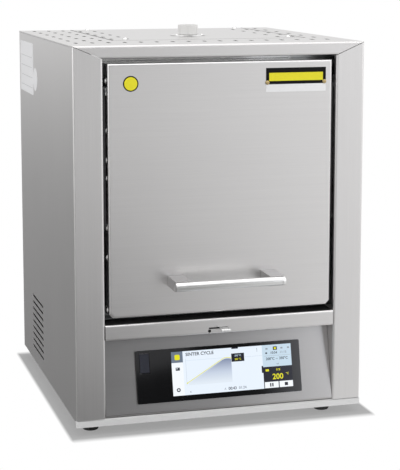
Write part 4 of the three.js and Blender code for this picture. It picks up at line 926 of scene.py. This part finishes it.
class FURNACE_OT_screen(FurnaceOperator, bpy.types.Operator):
    """Draws the picture on the display: tool strip, firing curve, readings and keys."""

    bl_idname = "furnace.screen"
    bl_label = "Screen picture"

    left = -68.0 * MM
    right = 105.5 * MM
    foot = 7.3 * MM
    top = 67.2 * MM
    layer = 0.06 * MM
    finishes = "white sheet column bar grey cell night line yellow fade".split()

    # Places and halves are shares of the picture's width, and of its height from the top; strokes,
    # figures and corners are in millimetres

    panes = (  # left, right, top, bottom, finish, layer and corner
        # tool strip
        (0.0, 0.094, 0.25, 1.0, "white", 0),
        (0.0, 0.094, 0.0, 0.25, "cell", 0),
        (0.027, 0.069, 0.068, 0.19, "yellow", 1, 1.6),
        (0.031, 0.065, 0.36, 0.43, "bar", 1),
        (0.037, 0.047, 0.375, 0.395, "white", 2),
        # chart
        (0.094, 0.755, 0.0, 1.0, "sheet", 0),
        (0.1155, 0.1175, 0.17, 0.78, "line", 1),
        (0.118, 0.42, 0.215, 0.22, "column", 1),
        *((0.61 + 0.0145 * i, 0.618 + 0.0145 * i, 0.228, 0.236, "line", 1) for i in range(10)),
        (0.495, 0.602, 0.135, 0.325, "night", 2),
        (0.5, 0.555, 0.0, 0.03, "night", 2),
        *((0.7095, 0.7135, 0.052 + 0.03 * i, 0.066 + 0.03 * i, "bar", 1) for i in range(3)),
        # readings
        (0.755, 1.0, 0.0, 0.505, "column", 0),
        (0.848, 0.882, 0.045, 0.125, "night", 1),
        (0.857, 0.873, 0.062, 0.108, "yellow", 2),
        *((x, x + 0.018, 0.07, 0.105, "grey", 1) for x in (0.785, 0.912, 0.968)),
        (0.782, 0.797, 0.17, 0.205, "bar", 1),
        (0.77, 0.99, 0.252, 0.257, "grey", 1),
        (0.867, 0.885, 0.322, 0.33, "bar", 1),
        (0.755, 1.0, 0.505, 1.0, "night", 0),
        (0.743, 0.756, 0.475, 0.635, "night", 1),
        (0.775, 0.803, 0.56, 0.61, "yellow", 1, 0.8),
        # keys
        (0.762, 0.878, 0.855, 0.995, "white", 1),
        (0.886, 1.0, 0.855, 0.995, "white", 1),
        (0.805, 0.816, 0.885, 0.965, "night", 2),
        (0.823, 0.834, 0.885, 0.965, "night", 2),
        (0.93, 0.957, 0.888, 0.962, "night", 2))
    rounds = (  # middle, half width, half height, corners, finish and layer
        (0.046, 0.87, 0.0165, 0.046, 12, "bar", 1),
        (0.046, 0.87, 0.007425, 0.0207, 12, "white", 2),
        (0.12, 0.73, 0.006, 0.017, 8, "yellow", 3))
    field = ((0.13, 0.73), (0.42, 0.26), (0.436, 0.243), (0.455, 0.235), (0.475, 0.24), (0.493, 0.252),
             (0.493, 0.78), (0.13, 0.78))
    strokes = (  # points, width, finish and layer
        (((0.12, 0.73), (0.42, 0.24), (0.436, 0.222), (0.455, 0.215), (0.475, 0.22), (0.498, 0.238)),
         0.8, "yellow", 2),
        (((0.425, 0.952), (0.43, 0.905), (0.4349, 0.952)), 0.5, "bar", 1),
        (((0.15, 0.915), (0.137, 0.935), (0.15, 0.955)), 0.5, "bar", 1),
        (((0.872, 0.44), (0.881, 0.465), (0.89, 0.44)), 0.5, "bar", 1))
    words = (  # text, height, middle, finish and layer
        ("203 °C", 3.3, 0.549, 0.188, "column", 3),
        ("200 °C", 3.3, 0.549, 0.272, "yellow", 3),
        ("00:43", 5.4, 0.49, 0.93, "bar", 1),
        ("01:24", 5.0, 0.575, 0.93, "grey", 1),
        ("10:34", 4.5, 0.852, 0.188, "bar", 1),
        ("11:15", 4.5, 0.932, 0.188, "grey", 1),
        ("200°C", 4.9, 0.82, 0.325, "bar", 1),
        ("350°C", 4.9, 0.932, 0.325, "bar", 1),
        ("0 %", 4.0, 0.882, 0.585, "yellow", 1),
        ("200", 10.6, 0.876, 0.745, "yellow", 1),
        ("°C", 4.2, 0.957, 0.69, "yellow", 1),
        ("SINTER CYCLE", 6.2, 0.118, 0.08, "bar", 1, "LEFT"))

    def spot(self, across, down):
        """A point of the picture, from its shares."""
        return (self.left + (self.right - self.left) * across, self.top - (self.top - self.foot) * down)

    def pane(self, bm, left, right, top, bottom, finish, level, corner=0.0):
        (x0, y0), (x1, y1) = self.spot(left, top), self.spot(right, bottom)
        slab(bm, ((x0 + x1) / 2.0, (y0 + y1) / 2.0), (x1 - x0, y0 - y1), self.layer, self.place,
             self.finishes.index(finish), corner * MM, self.layer * level)

    def shape(self, bm, points, finish, level):
        outline(bm, points, self.layer, self.place, self.finishes.index(finish), self.layer * level)

    def round(self, bm, across, down, wide, tall, corners, finish, level):
        angles = [math.tau * i / corners for i in range(corners)]
        self.shape(bm, [self.spot(across + wide * math.sin(angle), down + tall * math.cos(angle))
                        for angle in angles], finish, level)

    def stroke(self, bm, points, width, finish, level):
        """A bent line of one width through the points."""
        spots = [Vector(self.spot(*point)) for point in points]
        sides = []
        for before, after in zip(spots[:1] + spots, spots[1:] + spots[-1:]):
            along = (after - before).normalized()
            sides.append(Vector((-along.y, along.x)) * (width * MM / 2.0))
        ahead = [here + side for here, side in zip(spots, sides)]
        back = [here - side for here, side in zip(spots, sides)]
        self.shape(bm, ahead + back[::-1], finish, level)

    def word(self, bm, text, height, across, down, finish, level, align="CENTER"):
        lettering(bm, text, height * MM, self.spot(across, down), self.layer, self.place,
                  self.finishes.index(finish), self.layer * level, align)

    def execute(self, context):
        self.place = glass_face()
        bm = bmesh.new()
        for draw, rows in ((self.pane, self.panes), (self.round, self.rounds), (self.stroke, self.strokes),
                           (self.word, self.words)):
            for row in rows:
                draw(bm, *row)
        self.shape(bm, [self.spot(*point) for point in self.field], "fade", 1)
        keep(bm, "screen_picture", [f"lit_{one}" for one in self.finishes], "housing")
        return {"FINISHED"}


class FURNACE_OT_camera(FurnaceOperator, bpy.types.Operator):
    """Sets the camera at the place from which the furnace is seen."""

    bl_idname = "furnace.camera"
    bl_label = "Camera"

    sensor = 36.0
    focal_pixels, picture_pixels = 1476.3, 470.0  # focal length and height of the picture
    yaw = math.radians(16.041)
    pitch = math.radians(8.012)
    lens_shift = -0.15
    place = Vector((-573.4, -2077.0, 640.0)) * MM

    def execute(self, context):
        data = bpy.data.cameras.new("front_left_view")
        data.sensor_width = self.sensor
        data.sensor_fit = "AUTO"
        data.lens = self.focal_pixels * self.sensor / self.picture_pixels
        data.shift_y = self.lens_shift
        data.clip_end = 60.0
        camera = bpy.data.objects.new("front_left_view", data)
        level = math.cos(self.pitch)
        aim = Vector((math.sin(self.yaw) * level, math.cos(self.yaw) * level, -math.sin(self.pitch)))
        camera.location = self.place
        camera.rotation_euler = aim.to_track_quat("-Z", "Y").to_euler()
        context.scene.collection.objects.link(camera)
        context.scene.camera = camera
        return {"FINISHED"}


class FURNACE_OT_stage(FurnaceOperator, bpy.types.Operator):
    """Lays the white floor and sets the grey card, the soft lamps and the white world."""

    bl_idname = "furnace.stage"
    bl_label = "Floor, lamps and world"

    lamps = (  # name, place, aim, width, height and power
        ("overhead", (0.15, -0.35, 3.3), (0.0, 0.0, 0.2), 2.8, 2.8, 50.0),
        ("left_window", (-2.3, -0.9, 1.4), (0.0, 0.0, 0.35), 2.8, 2.6, 22.0),
        ("right_window", (2.4, -1.7, 1.6), (0.05, -0.1, 0.35), 3.2, 3.0, 28.0))
    floor_size = 9.0
    card_place = Matrix(((6.2, 0.0, 0.0, 0.2), (0.0, 0.0, 1.0, -12.2), (0.0, 2.0, 0.0, 3.2),
                         (0.0, 0.0, 0.0, 1.0)))
    shadow_left, shadow_right, shadow_front = 6.5 * MM, 13.5 * MM, 8.0 * MM  # past the tray
    shadow_edge = 5.0 * MM
    shadow_glow = 0.29
    grade_left, grade_right = -0.17, 0.18  # the floor that metal shows is graded between these

    def execute(self, context):
        context.scene.view_settings.view_transform = "Standard"
        self.floor(context)
        self.world(context)
        self.card(context)
        for name, place, aim, width, height, power in self.lamps:
            data = bpy.data.lights.new(name, "AREA")
            data.shape = "RECTANGLE"
            data.size = width
            data.size_y = height
            data.energy = power
            lamp = bpy.data.objects.new(name, data)
            lamp.location = place
            lamp.rotation_euler = (Vector(aim) - Vector(place)).to_track_quat("-Z", "Y").to_euler()
            context.scene.collection.objects.link(lamp)
        return {"FINISHED"}

    @staticmethod
    def rays(board):
        """Two wires: one for the camera's own rays, and one for what metal and glass show."""
        seen, glossy, through = (board.node("ShaderNodeLightPath", output=name)
                                 for name in ("Is Camera Ray", "Is Glossy Ray", "Is Transmission Ray"))
        return seen, glossy.maths("MAXIMUM", through)

    @staticmethod
    def plane(context, name, matrix, steps=1):
        """A plane of the stage, and the node tree of its own material."""
        bm = bmesh.new()
        bmesh.ops.create_grid(bm, x_segments=steps, y_segments=steps, size=1.0, matrix=matrix)
        mesh = bpy.data.meshes.new(name)
        bm.to_mesh(mesh)
        bm.free()
        material = bpy.data.materials.new(name)
        material.use_nodes = True
        mesh.materials.append(material)
        plane = bpy.data.objects.new(name, mesh)
        context.scene.collection.objects.link(plane)
        return plane, Board(material.node_tree)

    def world(self, context):
        world = bpy.data.worlds.new("studio")
        world.use_nodes = True
        context.scene.world = world
        board = Board(world.node_tree)
        seen, mirrored = self.rays(board)
        around = board.mix(mirrored, (0.42, 0.42, 0.43, 1.0), grey(0.88))
        light = board.node("ShaderNodeBackground", {"Color": board.mix(seen, around, grey(1.0))})
        board.node("ShaderNodeOutputWorld", {0: light})

    def floor(self, context):
        """White floor with a soft-edged shadow patch. Metal and glass show it without the patch, and
        lighter to the right and away from the tray."""
        _, board = self.plane(context, "studio_floor", Matrix.Scale(self.floor_size, 4), 24)
        across, deep, _ = board.axes()
        low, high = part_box("base_tray")
        first = low - Vector((self.shadow_left, self.shadow_front, 0.0))
        last = high + Vector((self.shadow_right, self.shadow_front, 0.0))
        middle = (first + last) / 2.0
        half = (last - first) / 2.0
        beside = (abs(across - middle.x) - half.x).maths("MAXIMUM", 0.0)
        before = (abs(deep - middle.y) - half.y).maths("MAXIMUM", 0.0) * 0.3
        gap = (beside * beside + before * before).maths("SQRT")
        bare = (gap * ((1.0 - self.shadow_glow) / self.shadow_edge) + self.shadow_glow).held()
        ahead = (low.y - deep).maths("MAXIMUM", 0.0)
        behind = deep.maths("MAXIMUM", 0.0)
        column = (across - ahead * 0.3).maths("DIVIDE", ahead * 0.53 + 1.0)
        column = column.maths("MAXIMUM", self.grade_left).maths("MINIMUM", self.grade_right)
        level = (column * 1.7 + ahead * 0.14 + behind * 0.06 + 0.53).held()
        seen, mirrored = self.rays(board)
        diffuse = board.node("ShaderNodeBsdfDiffuse", {"Color": board.mix(seen, grey(0.86), grey(0.22))})
        glow = board.node("ShaderNodeEmission", {"Color": board.mix(mirrored, grey(1.0), level)})
        mixed = board.node("ShaderNodeMixShader", {0: bare * seen + mirrored, 1: diffuse, 2: glow})
        board.node("ShaderNodeOutputMaterial", {0: mixed})

    def card(self, context):
        """Stands a grey card before the furnace, which only its steel and glass show."""
        card, board = self.plane(context, "grey_card", self.card_place)
        across, _, level = board.axes()
        shade = board.ramp((across - 2.0) * (1.0 / 4.4), (0.0, grey(0.06)), (0.44, grey(0.06)),
                           (0.59, (1.8, 1.84, 1.95, 1.0)), (1.0, (2.0, 2.05, 2.2, 1.0)))
        patch = (level > across * 0.17 + 1.588) * (level < 2.6) * (across > 2.1) * (across < 3.25)
        glow = board.node("ShaderNodeEmission", {"Color": board.mix(patch, shade, (0.5, 0.5, 0.52, 1.0))})
        board.node("ShaderNodeOutputMaterial", {0: glow})
        card.visible_camera = False
        card.visible_diffuse = False
        card.visible_shadow = False
        card.visible_transmission = False


OPERATORS = (FURNACE_OT_camera, FURNACE_OT_finishes, FURNACE_OT_feet, FURNACE_OT_handle, FURNACE_OT_flue,
             FURNACE_OT_cover_screws, FURNACE_OT_badge, FURNACE_OT_side_plates, FURNACE_OT_screen,
             FURNACE_OT_stage)


class FURNACE_PT_panel(bpy.types.Panel):
    """Lists the furnace's sizes, colours and pieces in the sidebar."""

    bl_idname = "FURNACE_PT_panel"
    bl_label = "Sintering furnace"
    bl_space_type = "VIEW_3D"
    bl_region_type = "UI"
    bl_category = "Furnace"

    def draw(self, context):
        for group in (context.scene.furnace_sizes, context.scene.furnace_colours):
            box = self.layout.box()
            for name in group.__annotations__:
                box.prop(group, name)
        for operator in OPERATORS:
            self.layout.operator(operator.bl_idname)


CLASSES = (FurnaceSizes, FurnaceColours, *OPERATORS, FURNACE_PT_panel)


def register():
    for one in CLASSES:
        bpy.utils.register_class(one)
    bpy.types.Scene.furnace_sizes = PointerProperty(type=FurnaceSizes)
    bpy.types.Scene.furnace_colours = PointerProperty(type=FurnaceColours)


def unregister():
    del bpy.types.Scene.furnace_colours
    del bpy.types.Scene.furnace_sizes
    for one in reversed(CLASSES):
        bpy.utils.unregister_class(one)


def main():
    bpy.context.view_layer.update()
    register()
    furnace = bpy.ops.furnace
    furnace.camera()
    furnace.finishes()
    furnace.feet()
    furnace.handle()
    furnace.flue()
    furnace.cover_screws()
    furnace.badge()
    furnace.side_plates()
    furnace.screen()
    furnace.stage()
    bpy.context.view_layer.update()


if __name__ == "__main__":
    main()
